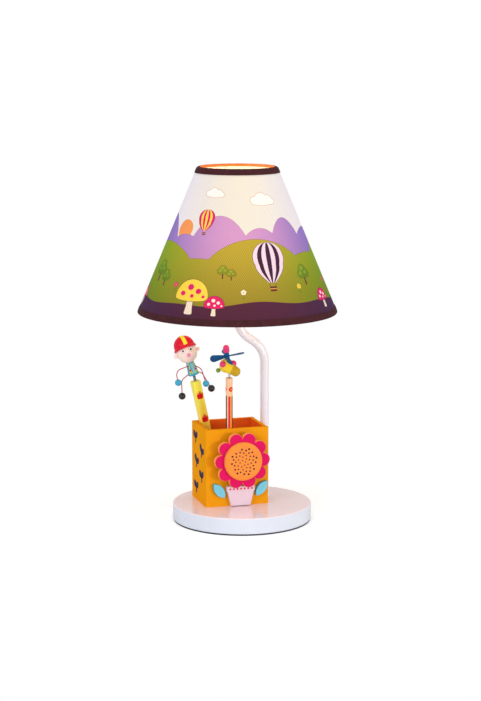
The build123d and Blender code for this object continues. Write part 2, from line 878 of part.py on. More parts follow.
with BuildPart() as shade_bottom_ring:
    with Locations((shade_x, shade_y, bottom_ring_height)):
        Torus(bottom_ring_radius, ring_wire_radius)

# The top ring is squared wire, so that the spokes end in its flat underside
with BuildPart() as shade_frame:
    with BuildSketch(upright(shade_plane)):
        with Locations((top_ring_radius, top_ring_height)):
            RectangleRounded(top_ring_width, top_ring_width, top_ring_width / 2 * ring_edge_share)
    revolve(axis=lamp_axis)
    with BuildSketch(Plane(origin=(shade_x, shade_y, fitter_bottom))):
        Circle(fitter_radius)
        Circle(holder_radius + fitter_play, mode=Mode.SUBTRACT)
    extrude(amount=fitter_thickness)
    spoke_height = fitter_bottom + fitter_thickness / 2
    for spoke in range(spoke_count):
        spoke_turn = math.radians(90 + spoke * 360 / spoke_count)
        spoke_plane = upright(shade_plane.rotated((0, 0, math.degrees(spoke_turn))))
        with BuildLine() as spoke_path:
            FilletPolyline(
                spoke_plane.from_local_coords((fitter_radius - spoke_lap, spoke_height)),
                spoke_plane.from_local_coords((top_ring_radius, spoke_height)),
                spoke_plane.from_local_coords((top_ring_radius, top_ring_height)),
                radius=spoke_bend_radius,
            )
        with BuildSketch(Plane(origin=spoke_path.line @ 0, z_dir=spoke_path.line % 0)):
            Circle(spoke_radius)
        sweep(path=spoke_path.wires()[0])

with BuildPart() as shade_top_trim:
    with BuildSketch(upright(shade_plane)):
        trim_outline(shade_top, -1)
    revolve(axis=lamp_axis)
    add(shade_frame.part, mode=Mode.SUBTRACT)

# Doll pen: it stands on the box floor and leans on the rim of the left board
doll_lean = math.radians(doll_pen_lean)
barrel_spread = math.cos(math.radians(doll_barrel_turn)) + math.sin(math.radians(doll_barrel_turn))
barrel_half = doll_barrel_width / 2 * barrel_spread
doll_rim_x = box_left + box_wall + (barrel_half + rest_gap) / math.cos(doll_lean)
doll_foot_x = doll_rim_x + (box_rim - box_floor_top) * math.tan(doll_lean)
doll_pen_y = box_back - box_wall - doll_pen_back_gap - barrel_half
doll_pen_plane = tipped(Plane(origin=(doll_foot_x, doll_pen_y, box_floor_top + rest_gap)), 0, doll_pen_lean)
doll_neck_plane = doll_pen_plane.offset(doll_pen_length)
doll_plane = tipped(doll_neck_plane, doll_neck_length, doll_tilt)
head_plane = doll_plane.offset(torso_height + head_radius - head_sink)

with BuildPart() as doll_pen_barrel:
    with BuildSketch(doll_pen_plane.offset(doll_point_length)):
        with Locations(Rotation(0, 0, doll_barrel_turn)):
            RectangleRounded(doll_barrel_width, doll_barrel_width, doll_barrel_round)
    extrude(amount=doll_pen_length - doll_point_length)

with BuildPart() as doll_pen_point:
    with BuildSketch(upright(doll_pen_plane)):
        Polygon(
            (0, 0),
            (doll_ball_radius, 0),
            (doll_ball_radius, 2 * doll_ball_radius),
            (doll_point_radius, doll_point_length),
            (0, doll_point_length),
            align=None,
        )
    revolve(axis=stem(doll_pen_plane))

with BuildPart() as doll_neck_spring:
    with BuildLine() as doll_neck_path:
        wind_neck(doll_neck_plane, doll_neck_length, doll_neck_turns)
    with BuildSketch(Plane(origin=doll_neck_path.line @ 0, z_dir=doll_neck_plane.z_dir)):
        Circle(neck_wire_radius)
    sweep(path=doll_neck_path.wires()[0])

# The head's seam lies at the back, clear of the ears
with BuildPart() as doll_head:
    with Locations(Plane(origin=head_plane.origin, x_dir=head_plane.y_dir, z_dir=head_plane.z_dir)):
        Sphere(head_radius)

shoulder = torso_height * shoulder_share
hip = torso_height * hip_share
right_hand_reach = barrel_half + hand_radius + right_hand_gap
right_foot_reach = barrel_half + foot_bead_radius + right_foot_gap
arm_plane = upright(doll_plane).offset(limb_layer)
leg_plane = upright(doll_plane)
arm_routes = [
    (
        (-limb_depth, shoulder),
        (-left_hand_reach * left_elbow_share, shoulder),
        (-left_hand_reach, -left_hand_drop),
    ),
    (
        (limb_depth, shoulder),
        (right_hand_reach, torso_height * right_elbow_share),
        (right_hand_reach, -right_hand_drop),
    ),
]
leg_routes = [
    (
        (-limb_depth, hip),
        (-left_foot_reach * left_knee_share, -knee_drop),
        (-left_foot_reach, -left_foot_drop),
    ),
    (
        (limb_depth, hip),
        (right_hand_reach, -knee_drop),
        (right_foot_reach, -right_foot_drop),
    ),
]


def limb_points(plane: Plane, route: tuple) -> list[Vector]:
    """The corners of one wire limb, from inside the torso to the middle of its bead."""
    return [plane.from_local_coords(point) for point in route]


with BuildPart() as doll_arms:
    for arm_route in arm_routes:
        with BuildLine() as arm_path:
            FilletPolyline(*limb_points(arm_plane, arm_route), radius=limb_bend_radius)
        with BuildSketch(Plane(origin=arm_path.line @ 0, z_dir=arm_path.line % 0)):
            Circle(limb_radius)
        sweep(path=arm_path.wires()[0])

with BuildPart() as doll_legs:
    for leg_route in leg_routes:
        with BuildLine() as leg_path:
            FilletPolyline(*limb_points(leg_plane, leg_route), radius=limb_bend_radius)
        with BuildSketch(Plane(origin=leg_path.line @ 0, z_dir=leg_path.line % 0)):
            Circle(limb_radius)
        sweep(path=leg_path.wires()[0])

with BuildPart() as doll_hands:
    with Locations(*[limb_points(arm_plane, route)[-1] for route in arm_routes]):
        Sphere(hand_radius)
    add(doll_arms.part, mode=Mode.SUBTRACT)

with BuildPart() as doll_feet:
    with Locations(*[limb_points(leg_plane, route)[-1] for route in leg_routes]):
        Sphere(foot_bead_radius)
    add(doll_legs.part, mode=Mode.SUBTRACT)

with BuildPart() as doll_torso:
    with BuildSketch(upright(doll_plane)):
        Polygon((0, 0), (torso_radius, 0), (torso_top_radius, torso_height), (0, torso_height), align=None)
    revolve(axis=stem(doll_plane))
    fillet(doll_torso.edges().filter_by(GeomType.CIRCLE).sort_by(stem(doll_plane))[0], torso_edge_round)
    add(doll_head.part, mode=Mode.SUBTRACT)
    add(doll_arms.part, mode=Mode.SUBTRACT)
    add(doll_legs.part, mode=Mode.SUBTRACT)

with BuildPart() as doll_ears:
    for ear_side in (-1, 1):
        ear_spot = head_plane.from_local_coords((ear_side * (head_radius + ear_stand), 0, 0))
        with Locations(Plane(origin=ear_spot, z_dir=head_plane.x_dir * ear_side)):
            Sphere(ear_radius)
    add(doll_head.part, mode=Mode.SUBTRACT)

helmet_top = helmet_brim_lift + helmet_height
helmet_shoulder = helmet_brim_lift + helmet_brim_thickness + helmet_flare
helmet_seat_radius = head_radius + slip_gap
helmet_mouth = math.sqrt(helmet_seat_radius**2 - helmet_brim_lift**2)
helmet_brim_radius = helmet_mouth + helmet_brim_reach
helmet_dome_radius = head_radius + helmet_wall
helmet_plane = nodded(head_plane, -helmet_tip)

with BuildPart() as doll_helmet:
    with BuildSketch(upright(helmet_plane)):
        with BuildLine():
            TangentArc((0, helmet_top), (helmet_dome_radius, helmet_shoulder), tangent=(1, 0))
            Polyline(
                (helmet_dome_radius, helmet_shoulder),
                (helmet_brim_radius, helmet_brim_lift + helmet_brim_thickness),
                (helmet_brim_radius, helmet_brim_lift),
                (helmet_mouth, helmet_brim_lift),
            )
            TangentArc((0, helmet_seat_radius), (helmet_mouth, helmet_brim_lift), tangent=(1, 0))
            Line((0, helmet_seat_radius), (0, helmet_top))
        make_face()
    revolve(axis=stem(helmet_plane))

with BuildPart() as doll_helmet_stripe:
    with BuildSketch(upright(helmet_plane)):
        with BuildLine():
            outer_shoulder = (helmet_dome_radius + stripe_thickness, helmet_shoulder)
            TangentArc((0, helmet_top + stripe_thickness), outer_shoulder, tangent=(1, 0))
            Line(outer_shoulder, (helmet_dome_radius, helmet_shoulder))
            TangentArc((0, helmet_top), (helmet_dome_radius, helmet_shoulder), tangent=(1, 0))
            Line((0, helmet_top), (0, helmet_top + stripe_thickness))
        make_face()
    revolve(axis=stem(helmet_plane))
    with BuildSketch(helmet_plane):
        Rectangle(stripe_width, 2 * helmet_brim_radius + cut_overrun)
    extrude(amount=helmet_top + cut_overrun, mode=Mode.INTERSECT)

# Helicopter pencil: it stands on the box floor and leans on the rim of the front board
pencil_side = Vector(math.cos(math.radians(pencil_turn)), math.sin(math.radians(pencil_turn)), 0)
pencil_ahead = Vector(pencil_side.Y, -pencil_side.X, 0)
lean_run = math.tan(math.radians(pencil_lean))
front_clearance = pencil_radius / math.cos(math.radians(pencil_lean)) + rest_gap
pencil_rim = Vector(
    box_left + box_wall + pencil_from_left, box_front + box_wall + front_clearance, box_rim
)
pencil_foot = pencil_rim - (pencil_ahead * lean_run + Vector(0, 0, 1)) * (box_rim - box_floor_top)
pencil_plane = Plane(
    origin=pencil_foot + Vector(0, 0, rest_gap),
    x_dir=pencil_side,
    z_dir=pencil_ahead * lean_run + Vector(0, 0, 1),
)
pencil_top_plane = pencil_plane.offset(pencil_length)
helicopter_plane = tipped(pencil_top_plane, helicopter_neck_length, helicopter_tilt)
lead_exposed = pencil_cone_length * lead_radius / pencil_radius

with BuildPart() as pencil_barrel:
    with BuildSketch(upright(pencil_plane)):
        Polygon(
            (lead_radius, lead_exposed),
            (pencil_radius, pencil_cone_length),
            (pencil_radius, pencil_length - pencil_top_round),
            (pencil_radius - pencil_top_round, pencil_length),
            (lead_radius, pencil_length),
            align=None,
        )
    revolve(axis=stem(pencil_plane))

with BuildPart() as pencil_lead:
    with BuildSketch(upright(pencil_plane)):
        Polygon(
            (0, 0),
            (lead_tip_radius, 0),
            (lead_radius, lead_exposed),
            (lead_radius, pencil_length),
            (0, pencil_length),
            align=None,
        )
    revolve(axis=stem(pencil_plane))

with BuildPart() as helicopter_neck_spring:
    with BuildLine() as helicopter_neck_path:
        wind_neck(pencil_top_plane, helicopter_neck_length, helicopter_neck_turns)
    with BuildSketch(Plane(origin=helicopter_neck_path.line @ 0, z_dir=pencil_top_plane.z_dir)):
        Circle(neck_wire_radius)
    sweep(path=helicopter_neck_path.wires()[0])

hull_centre = helicopter_plane.from_local_coords(Vector(-hull_offset, 0, hull_lift))
hull_plane = pointing(helicopter_plane, hull_centre, nose_turn, -nose_dip)
tail_plane = pointing(helicopter_plane, hull_centre, tail_turn, -tail_dip)
pin_plane = nodded(helicopter_plane.offset(hull_lift), rotor_pin_tip)
hull_top = math.sqrt(hull_radius**2 - hull_offset**2)
hub_bottom = hull_top + rotor_shoulder_lift + turn_gap
rotor_cap_bottom = hub_bottom + rotor_hub_height
socket_radius = neck_coil_radius + neck_end_bend + neck_wire_radius + socket_gap

with BuildPart() as rotor_pin:
    with BuildSketch(upright(pin_plane)):
        Polygon(
            (0, -rotor_pin_root),
            (rotor_shoulder_radius, -rotor_pin_root),
            (rotor_shoulder_radius, hub_bottom - turn_gap),
            (rotor_pin_radius, hub_bottom - turn_gap),
            (rotor_pin_radius, rotor_cap_bottom + rotor_cap_bore - turn_gap),
            (0, rotor_cap_bottom + rotor_cap_bore - turn_gap),
            align=None,
        )
    revolve(axis=stem(pin_plane))

with BuildPart() as helicopter_tail_peg:
    with BuildSketch(tail_plane.offset(hull_radius - tail_peg_seat)):
        Circle(tail_peg_radius)
    extrude(amount=tail_ball_reach - hull_radius + tail_peg_seat)

with BuildPart() as helicopter_hull:
    with BuildSketch(upright(hull_plane)):
        taper = math.asin((hull_radius - hull_nose_radius) / hull_nose_reach)
        flank = (taper - math.pi / 2) / 2
        brow = (taper + math.pi / 2) / 2
        body_end = (hull_radius * math.cos(taper), hull_radius * math.sin(taper))
        nose_start = (
            hull_nose_radius * math.cos(taper),
            hull_nose_reach + hull_nose_radius * math.sin(taper),
        )
        with BuildLine():
            ThreePointArc(
                (0, -hull_radius), (hull_radius * math.cos(flank), hull_radius * math.sin(flank)), body_end
            )
            SagittaArc(body_end, nose_start, hull_waist)
            ThreePointArc(
                nose_start,
                (hull_nose_radius * math.cos(brow), hull_nose_reach + hull_nose_radius * math.sin(brow)),
                (0, hull_nose_reach + hull_nose_radius),
            )
            Line((0, hull_nose_reach + hull_nose_radius), (0, -hull_radius))
        make_face()
    revolve(axis=stem(hull_plane))
    with BuildSketch(helicopter_plane):
        Circle(socket_radius)
    extrude(amount=-helicopter_neck_length, mode=Mode.SUBTRACT)
    add(rotor_pin.part, mode=Mode.SUBTRACT)
    add(helicopter_tail_peg.part, mode=Mode.SUBTRACT)

with BuildPart() as helicopter_buttons:
    for button_turn, button_rise in zip(button_turns, button_rises):
        button_plane = pointing(helicopter_plane, hull_centre, button_turn, button_rise)
        with Locations(button_plane.offset(hull_radius)):
            Sphere(button_radius)
    add(helicopter_hull.part, mode=Mode.SUBTRACT)

with BuildPart() as helicopter_tail_ball:
    with Locations(tail_plane.offset(tail_ball_reach)):
        Sphere(tail_ball_radius)
    add(helicopter_tail_peg.part, mode=Mode.SUBTRACT)

hub_plane = pin_plane.offset(hub_bottom + blade_lift)

with BuildPart() as rotor_blades:
    with BuildSketch(pin_plane.offset(hub_bottom)):
        Circle(rotor_hub_radius)
    extrude(amount=rotor_hub_height)
    for blade in range(blade_count):
        blade_turn = blade_start_turn + blade * 360 / blade_count
        with BuildSketch(pitched(hub_plane, blade_turn, blade_pitch)):
            with Locations((rotor_hub_radius, 0)):
                Circle(blade_root_radius)
            with Locations((blade_reach - blade_tip_radius, 0)):
                Circle(blade_tip_radius)
            make_hull()
        extrude(amount=blade_thickness / 2, both=True)
    with BuildSketch(pin_plane.offset(hub_bottom - cut_overrun)):
        Circle(rotor_pin_radius + turn_gap)
    extrude(amount=rotor_hub_height + 2 * cut_overrun, mode=Mode.SUBTRACT)

with BuildPart() as rotor_cap:
    with BuildSketch(pin_plane.offset(rotor_cap_bottom)):
        Circle(rotor_cap_radius)
    extrude(amount=rotor_cap_height)
    cap_edges = rotor_cap.edges().filter_by(GeomType.CIRCLE).sort_by(stem(pin_plane))
    fillet(cap_edges[-1], rotor_cap_radius - rotor_cap_flat)
    fillet(cap_edges[0], rotor_cap_foot_round)
    with BuildSketch(pin_plane.offset(rotor_cap_bottom)):
        Circle(rotor_pin_radius + turn_gap)
    extrude(amount=rotor_cap_bore, mode=Mode.SUBTRACT)

# Write every piece under its own name
pieces = {
    "foot_disc": foot_disc,
    "foot_pad": foot_pad,
    "cord_grommet": cord_grommet,
    "pole": pole,
    "pole_collar": pole_collar,
    "pole_washer": pole_washer,
    "pole_nut": pole_nut,
    "box_screws": box_screws,
    "box_floor": box_floor,
    "box_front": box_front_board,
    "box_back": box_back_board,
    "box_left": box_left_board,
    "box_right": box_right_board,
    "flower_dowel": flower_dowel,
    "flower_petals": flower_petals,
    "flower_centre": flower_centre,
    "flower_pot": flower_pot,
    **leaf_parts,
    "holder_cap": holder_cap,
    "holder_shell": holder_shell,
    "holder_core": holder_core,
    "screw_shell": screw_shell,
    "centre_contact": centre_contact,
    "ring_nut": ring_nut,
    "switch_shaft": switch_shaft,
    "switch_knob": switch_knob,
    "bulb_contact": bulb_contact,
    "bulb_cap": bulb_cap,
    "bulb_glass": bulb_glass,
    "shade_skin": shade_skin,
    "shade_top_trim": shade_top_trim,
    "shade_bottom_trim": shade_bottom_trim,
    "shade_frame": shade_frame,
    "shade_bottom_ring": shade_bottom_ring,
    "doll_pen_barrel": doll_pen_barrel,
    "doll_pen_point": doll_pen_point,
    "doll_neck_spring": doll_neck_spring,
    "doll_torso": doll_torso,
    "doll_head": doll_head,
    "doll_ears": doll_ears,
    "doll_helmet": doll_helmet,
    "doll_helmet_stripe": doll_helmet_stripe,
    "doll_arms": doll_arms,
    "doll_hands": doll_hands,
    "doll_legs": doll_legs,
    "doll_feet": doll_feet,
    "pencil_barrel": pencil_barrel,
    "pencil_lead": pencil_lead,
    "helicopter_neck_spring": helicopter_neck_spring,
    "helicopter_hull": helicopter_hull,
    "helicopter_buttons": helicopter_buttons,
    "helicopter_tail_peg": helicopter_tail_peg,
    "helicopter_tail_ball": helicopter_tail_ball,
    "rotor_pin": rotor_pin,
    "rotor_blades": rotor_blades,
    "rotor_cap": rotor_cap,
}

os.makedirs("parts", exist_ok=True)
for piece_name, piece in pieces.items():
    piece.part.label = piece_name
    export_step(piece.part, f"parts/{piece_name}.step")

print("least gap between turns, doll neck:", round(least_gap(doll_neck_path.wires()[0]), 2))
print("least gap between turns, helicopter neck:", round(least_gap(helicopter_neck_path.wires()[0]), 2))
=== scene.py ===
"""Looks of a desk lamp with a pen box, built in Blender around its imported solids.

Lengths are in metres, in the frame of the solids: +X to the right, -Y to the front, +Z up and the
table at z 0. Sizes written in millimetres are multiplied by MM.
"""

import logging
import math
from collections.abc import Callable, Iterable, Iterator, Sequence
from contextlib import contextmanager
from dataclasses import dataclass
from enum import Enum

import bpy
import numpy as np
from mathutils import Matrix, Vector
from mathutils.geometry import delaunay_2d_cdt


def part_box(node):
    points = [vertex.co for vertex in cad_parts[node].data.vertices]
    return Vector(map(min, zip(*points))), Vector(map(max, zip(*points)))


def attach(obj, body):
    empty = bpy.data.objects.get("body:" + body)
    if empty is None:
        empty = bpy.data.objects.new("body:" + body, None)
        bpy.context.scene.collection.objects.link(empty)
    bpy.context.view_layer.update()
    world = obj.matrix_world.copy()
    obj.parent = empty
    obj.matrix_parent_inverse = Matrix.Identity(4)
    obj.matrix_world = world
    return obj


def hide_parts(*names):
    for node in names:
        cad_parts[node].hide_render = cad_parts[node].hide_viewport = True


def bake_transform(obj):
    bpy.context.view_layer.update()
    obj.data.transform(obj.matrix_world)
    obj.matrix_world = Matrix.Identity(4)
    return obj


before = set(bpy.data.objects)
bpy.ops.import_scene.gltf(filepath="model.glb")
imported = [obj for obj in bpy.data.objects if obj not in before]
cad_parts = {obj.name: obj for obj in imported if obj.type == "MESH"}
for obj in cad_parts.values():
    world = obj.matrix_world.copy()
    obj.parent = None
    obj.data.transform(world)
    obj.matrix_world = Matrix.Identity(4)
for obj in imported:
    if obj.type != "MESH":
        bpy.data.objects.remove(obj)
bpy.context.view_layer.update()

MM = 0.001
LOG = logging.getLogger("desk_lamp")

# Millimetres that a plate starts in front of the surface that it is laid on.
AHEAD = 3.0
GOLDEN_ANGLE = 137.508
DARKNESS = (0.0, 0.0, 0.0, 1.0)
DAYLIGHT = (1.0, 1.0, 1.0, 1.0)

Point = tuple[float, float]
Triple = tuple[float, float, float]
Outline = Sequence[Point]
Piece = bpy.types.Object
Material = bpy.types.Material
Socket = bpy.types.NodeSocket


def linear(code: str) -> tuple[float, float, float, float]:
    """Turns an sRGB hex colour into linear light.

    Args:
        code: Six hex digits, such as "F0D5D3".

    Returns:
        Red, green, blue and an alpha of one.
    """
    parts = [int(code[i : i + 2], 16) / 255 for i in (0, 2, 4)]
    light = [c / 12.92 if c <= 0.04045 else ((c + 0.055) / 1.055) ** 2.4 for c in parts]
    return light[0], light[1], light[2], 1.0


def feed(node: bpy.types.Node, inputs: dict) -> None:
    """Sets a node's inputs, by name or number, to values or links them to output sockets."""
    for key, value in inputs.items():
        if isinstance(value, Socket):
            node.id_data.links.new(value, node.inputs[key])
        else:
            node.inputs[key].default_value = value


def add_node(tree: bpy.types.NodeTree, kind: str, inputs: dict | None = None, **settings) -> bpy.types.Node:
    """Adds a node with its settings and links.

    Args:
        tree: The node tree.
        kind: The node's type name.
        inputs: What its inputs are fed with.
        **settings: Properties of the node.

    Returns:
        The new node.
    """
    node = tree.nodes.new(kind)
    for name, value in settings.items():
        setattr(node, name, value)
    feed(node, inputs or {})
    return node


class Nodes:
    """A node tree in the making."""

    def __init__(self, owner: Material | bpy.types.World) -> None:
        """Starts an empty tree in a material or world."""
        owner.use_nodes = True
        self.tree = owner.node_tree
        self.tree.nodes.clear()

    def add(self, kind: str, inputs: dict | None = None, **settings) -> bpy.types.Node:
        """Adds a node to this tree."""
        return add_node(self.tree, kind, inputs, **settings)

    def mix(self, factor, first, second, blend: str = "MIX") -> Socket:
        """Mixes two colours and gives the mixed colour's socket."""
        inputs = {0: factor, 6: first, 7: second}
        return self.add("ShaderNodeMix", inputs, data_type="RGBA", blend_type=blend).outputs[2]

    def split(self, vector: Socket) -> bpy.types.NodeOutputs:
        """Sockets of a vector's x, y and z."""
        return self.add("ShaderNodeSeparateXYZ", {0: vector}).outputs

    def wave(self, value: Socket, length: float) -> Socket:
        """A sine of a value in metres, with its wavelength in millimetres."""
        return self.math("SINE", self.math("MULTIPLY", value, 2 * math.pi / (length * MM)))

    def math(self, operation: str, *values) -> Socket:
        """Gives the socket of a sum, product or comparison."""
        return self.add("ShaderNodeMath", dict(enumerate(values)), operation=operation).outputs[0]

    def spread(self, value, low: float, high: float, start: float, end: float) -> Socket:
        """Maps a value from one range to another, clamped and eased."""
        inputs = {"Value": value, "From Min": low, "From Max": high, "To Min": start, "To Max": end}
        return self.add("ShaderNodeMapRange", inputs, interpolation_type="SMOOTHSTEP").outputs[0]

    def scale(self, value, **ends) -> Socket:
        """Maps a value evenly from one range to another, nought to one where no end is given."""
        inputs = {name.replace("_", " ").title(): end for name, end in ends.items()}
        return self.add("ShaderNodeMapRange", {"Value": value, **inputs}).outputs[0]

    def seen(self) -> Socket:
        """One for rays that show the background: from the camera and through glass."""
        path = self.add("ShaderNodeLightPath").outputs
        return self.math("MAXIMUM", path["Is Camera Ray"], path["Is Transmission Ray"])


class Surface(Nodes):
    """A material in the making: its tree, its shader and its coordinates."""

    def __init__(self, name: str) -> None:
        """Starts an empty material with one shader."""
        self.material = bpy.data.materials.new(name)
        super().__init__(self.material)
        self.shader = self.add("ShaderNodeBsdfPrincipled")
        self.add("ShaderNodeOutputMaterial", {"Surface": self.shader.outputs[0]})
        self.coords = self.add("ShaderNodeTexCoord")
        self.place = self.coords.outputs["Object"]

    def set(self, sockets: dict) -> None:
        """Sets or links sockets of the shader."""
        feed(self.shader, sockets)

    def mottle(self, size: float, detail: float = 2.0, stretch: Triple = (1, 1, 1)) -> Socket:
        """Noise whose cells are about the given size.

        Args:
            size: Cell size in millimetres.
            detail: Octaves of finer noise.
            stretch: Scale along each axis; below one lengthens the cells.

        Returns:
            The noise value's socket.
        """
        place = self.add("ShaderNodeMapping", {"Vector": self.place, "Scale": stretch}).outputs[0]
        inputs = {"Vector": place, "Scale": 1 / (size * MM), "Detail": detail}
        return self.add("ShaderNodeTexNoise", inputs).outputs["Fac"]

    def raise_by(self, height, strength: float, depth: float) -> None:
        """Gives the shader a bump.

        Args:
            height: The height's socket.
            strength: Share of the bump that shows.
            depth: Depth of the relief in millimetres.
        """
        node = self.add("ShaderNodeBump", {"Height": height, "Strength": strength, "Distance": depth * MM})
        self.set({"Normal": node.outputs[0]})


class Zone(Enum):
    """Where a lacquer has its second colour."""

    NONE = "none"
    TOWARDS = "from one point towards another"
    INSIDE = "inside the box"
    EDGE = "on sawn edges"


@dataclass(frozen=True)
class Lacquer:
    """Lacquer on sawn and sanded wood: a smooth film, a little uneven, with the grain faintly under it."""

    name: str
    colour: str
    deep: str
    roughness: float = 0.34
    coat: float = 0.12
    film: float = 1.6
    zone: Zone = Zone.NONE
    zone_colour: str = "FFFFFF"
    low: Triple = (0.0, 0.0, 0.0)
    high: Triple = (0.0, 0.0, 0.0)
    shine: float = 0.3

    def mask(self, surface: Surface) -> Socket:
        """Where the second colour is, from nought to one."""
        if self.zone is Zone.TOWARDS:
            way = Vector(self.high) - Vector(self.low)
            ahead = way.normalized()
            inputs = {0: surface.place, 1: ahead}
            along = surface.add("ShaderNodeVectorMath", inputs, operation="DOT_PRODUCT").outputs["Value"]
            begin = Vector(self.low).dot(ahead)
            return surface.spread(along, begin, begin + way.length, 0.0, 1.0)
        if self.zone is Zone.EDGE:
            facing = surface.split(surface.coords.outputs["Normal"])
            return surface.spread(surface.math("ABSOLUTE", facing[1]), 0.55, 0.8, 1.0, 0.0)
        # Otherwise the zone is the box's inside, where the painted shade of its hollow goes.
        place = surface.split(surface.place)
        sides = [surface.math("GREATER_THAN", place[i], self.low[i]) for i in (0, 1)]
        sides += [surface.math("LESS_THAN", place[i], self.high[i]) for i in (0, 1)]
        across = surface.math("MULTIPLY", sides[0], sides[2])
        along = surface.math("MULTIPLY", sides[1], sides[3])
        return surface.math("MULTIPLY", across, along)

    def build(self) -> Material:
        """Makes the material."""
        surface = Surface(self.name)
        broad = surface.spread(surface.mottle(self.film * 14), 0.35, 0.7, 0.0, 0.55)
        colour = surface.mix(broad, linear(self.colour), linear(self.deep))
        if self.zone is not Zone.NONE:
            second = linear(self.zone_colour)
            second = surface.mix(broad, second, tuple(0.93 * c for c in second))
            colour = surface.mix(self.mask(surface), colour, second)
        fine = surface.mottle(self.film, 3.0)
        grain = surface.mottle(1.1, 2.0, (1, 1, 0.06))
        height = surface.math("ADD", fine, surface.math("MULTIPLY", grain, 0.6))
        surface.raise_by(height, 0.16, 0.05)
        rough = surface.spread(fine, 0.3, 0.7, self.roughness - 0.05, self.roughness + 0.07)
        surface.set({"Base Color": colour, "Roughness": rough, "IOR": 1.5})
        surface.set({"Specular IOR Level": self.shine, "Coat Weight": self.coat, "Coat Roughness": 0.12})
        return surface.material


@dataclass(frozen=True)
class Moulding:
    """A moulded, dipped or fired piece: one colour with a fine skin and slight flow marks."""

    name: str
    colour: str
    deep: str
    roughness: float = 0.35
    skin: float = 0.8
    relief: float = 0.05
    coat: float = 0.0

    def build(self) -> Material:
        """Makes the material."""
        surface = Surface(self.name)
        flow = surface.spread(surface.mottle(self.skin * 20), 0.35, 0.7, 0.0, 0.6)
        colour = surface.mix(flow, linear(self.colour), linear(self.deep))
        fine = surface.mottle(self.skin, 3.0)
        surface.raise_by(fine, 0.2, self.relief)
        rough = surface.spread(fine, 0.3, 0.7, self.roughness - 0.04, self.roughness + 0.06)
        surface.set({"Base Color": colour, "Roughness": rough, "IOR": 1.5})
        surface.set({"Coat Weight": self.coat, "Coat Roughness": 0.1})
        return surface.material


@dataclass(frozen=True)
class Metal:
    """Bare or plated metal with fine drawing lines and a few duller patches."""

    name: str
    colour: str
    deep: str
    roughness: float = 0.28
    lines: float = 0.35

    def build(self) -> Material:
        """Makes the material."""
        surface = Surface(self.name)
        patch = surface.spread(surface.mottle(6.0), 0.35, 0.75, 0.0, 0.7)
        colour = surface.mix(patch, linear(self.colour), linear(self.deep))
        drawn = surface.mottle(self.lines, 2.0, (1, 1, 0.08))
        surface.raise_by(drawn, 0.15, 0.02)
        rough = surface.spread(drawn, 0.3, 0.7, self.roughness - 0.06, self.roughness + 0.1)
        surface.set({"Base Color": colour, "Roughness": rough, "Metallic": 1.0})
        return surface.material


@dataclass(frozen=True)
class Cloth:
    """Plain-woven cotton on stiff backing: threads over and under, with the bulb's light through it painted
    in as a glow.

    The threads are drawn as coarse as the render needs to show them; real ones lie about 0.4 mm apart.
    """

    name: str
    colour: str
    cool: str
    bottom_light: float = 1.0
    thread: float = 2.3
    pick: float = 4.2
    glow: float = 0.2
    low: float = 0.255
    high: float = 0.37
    warm_light: str = "FFE6C0"

    def build(self) -> Material:
        """Makes the material."""
        surface = Surface(self.name)
        across = surface.split(surface.coords.outputs["UV"])
        warp, weft = surface.wave(across[0], self.thread), surface.wave(across[1], self.pick)
        weave = surface.math("MULTIPLY_ADD", surface.math("MULTIPLY", warp, weft), 0.5, 0.5)
        # The bulb's glow is painted in: warm at the shade's front and back, cool to its sides.
        painted_glow = surface.add("ShaderNodeAttribute", attribute_name="painted_glow").outputs["Fac"]
        base = surface.mix(painted_glow, linear(self.cool), linear(self.colour))
        slub = surface.spread(surface.mottle(2.4, 3.0), 0.35, 0.7, 0.0, 0.12)
        base = surface.mix(slub, base, linear("FFFFFF"), "MULTIPLY")
        # Darker between the threads: painted shade in the weave's gaps.
        base = surface.mix(surface.spread(weave, 0.0, 1.0, 0.3, 0.0), base, DARKNESS)
        # Darker towards the bottom of the shade: painted shade where the bulb's light fades.
        lit = surface.spread(surface.split(surface.place)[2], self.low, self.high, self.bottom_light, 1.0)
        base = surface.mix(lit, DARKNESS, base)
        # The cloth gives off the bulb's light as a painted glow.
        light = surface.mix(painted_glow, (0.8, 0.8, 0.9, 1), linear(self.warm_light))
        through = surface.mix(1.0, base, light, "MULTIPLY")
        through = surface.mix(lit, DARKNESS, through)
        surface.raise_by(weave, 0.35, 0.12)
        surface.set({"Base Color": base, "Roughness": 0.82, "IOR": 1.45, "Specular IOR Level": 0.2})
        surface.set({"Emission Color": through, "Emission Strength": self.glow})
        return surface.material


@dataclass(frozen=True)
class Tape:
    """Ribbed cotton tape, glued over the edge; where it is lit from inside it glows."""

    name: str
    colour: str
    deep: str
    rib: float = 1.3
    glow: float = 0.0

    def build(self) -> Material:
        """Makes the material."""
        surface = Surface(self.name)
        around = surface.split(surface.coords.outputs["UV"])[0]
        ribs = surface.math("MULTIPLY_ADD", surface.wave(around, self.rib), 0.5, 0.5)
        tone = surface.spread(surface.mottle(7.0, 3.0), 0.3, 0.7, 0.0, 1.0)
        colour = surface.mix(tone, linear(self.colour), linear(self.deep))
        # Darker in the grooves between the ribs: painted shade.
        colour = surface.mix(surface.spread(ribs, 0.0, 0.5, 0.3, 0.0), colour, DARKNESS)
        surface.raise_by(ribs, 0.4, 0.15)
        surface.set({"Base Color": colour, "Roughness": 0.75, "Specular IOR Level": 0.1})
        if self.glow:
            surface.set({"Emission Color": colour, "Emission Strength": self.glow})
        return surface.material


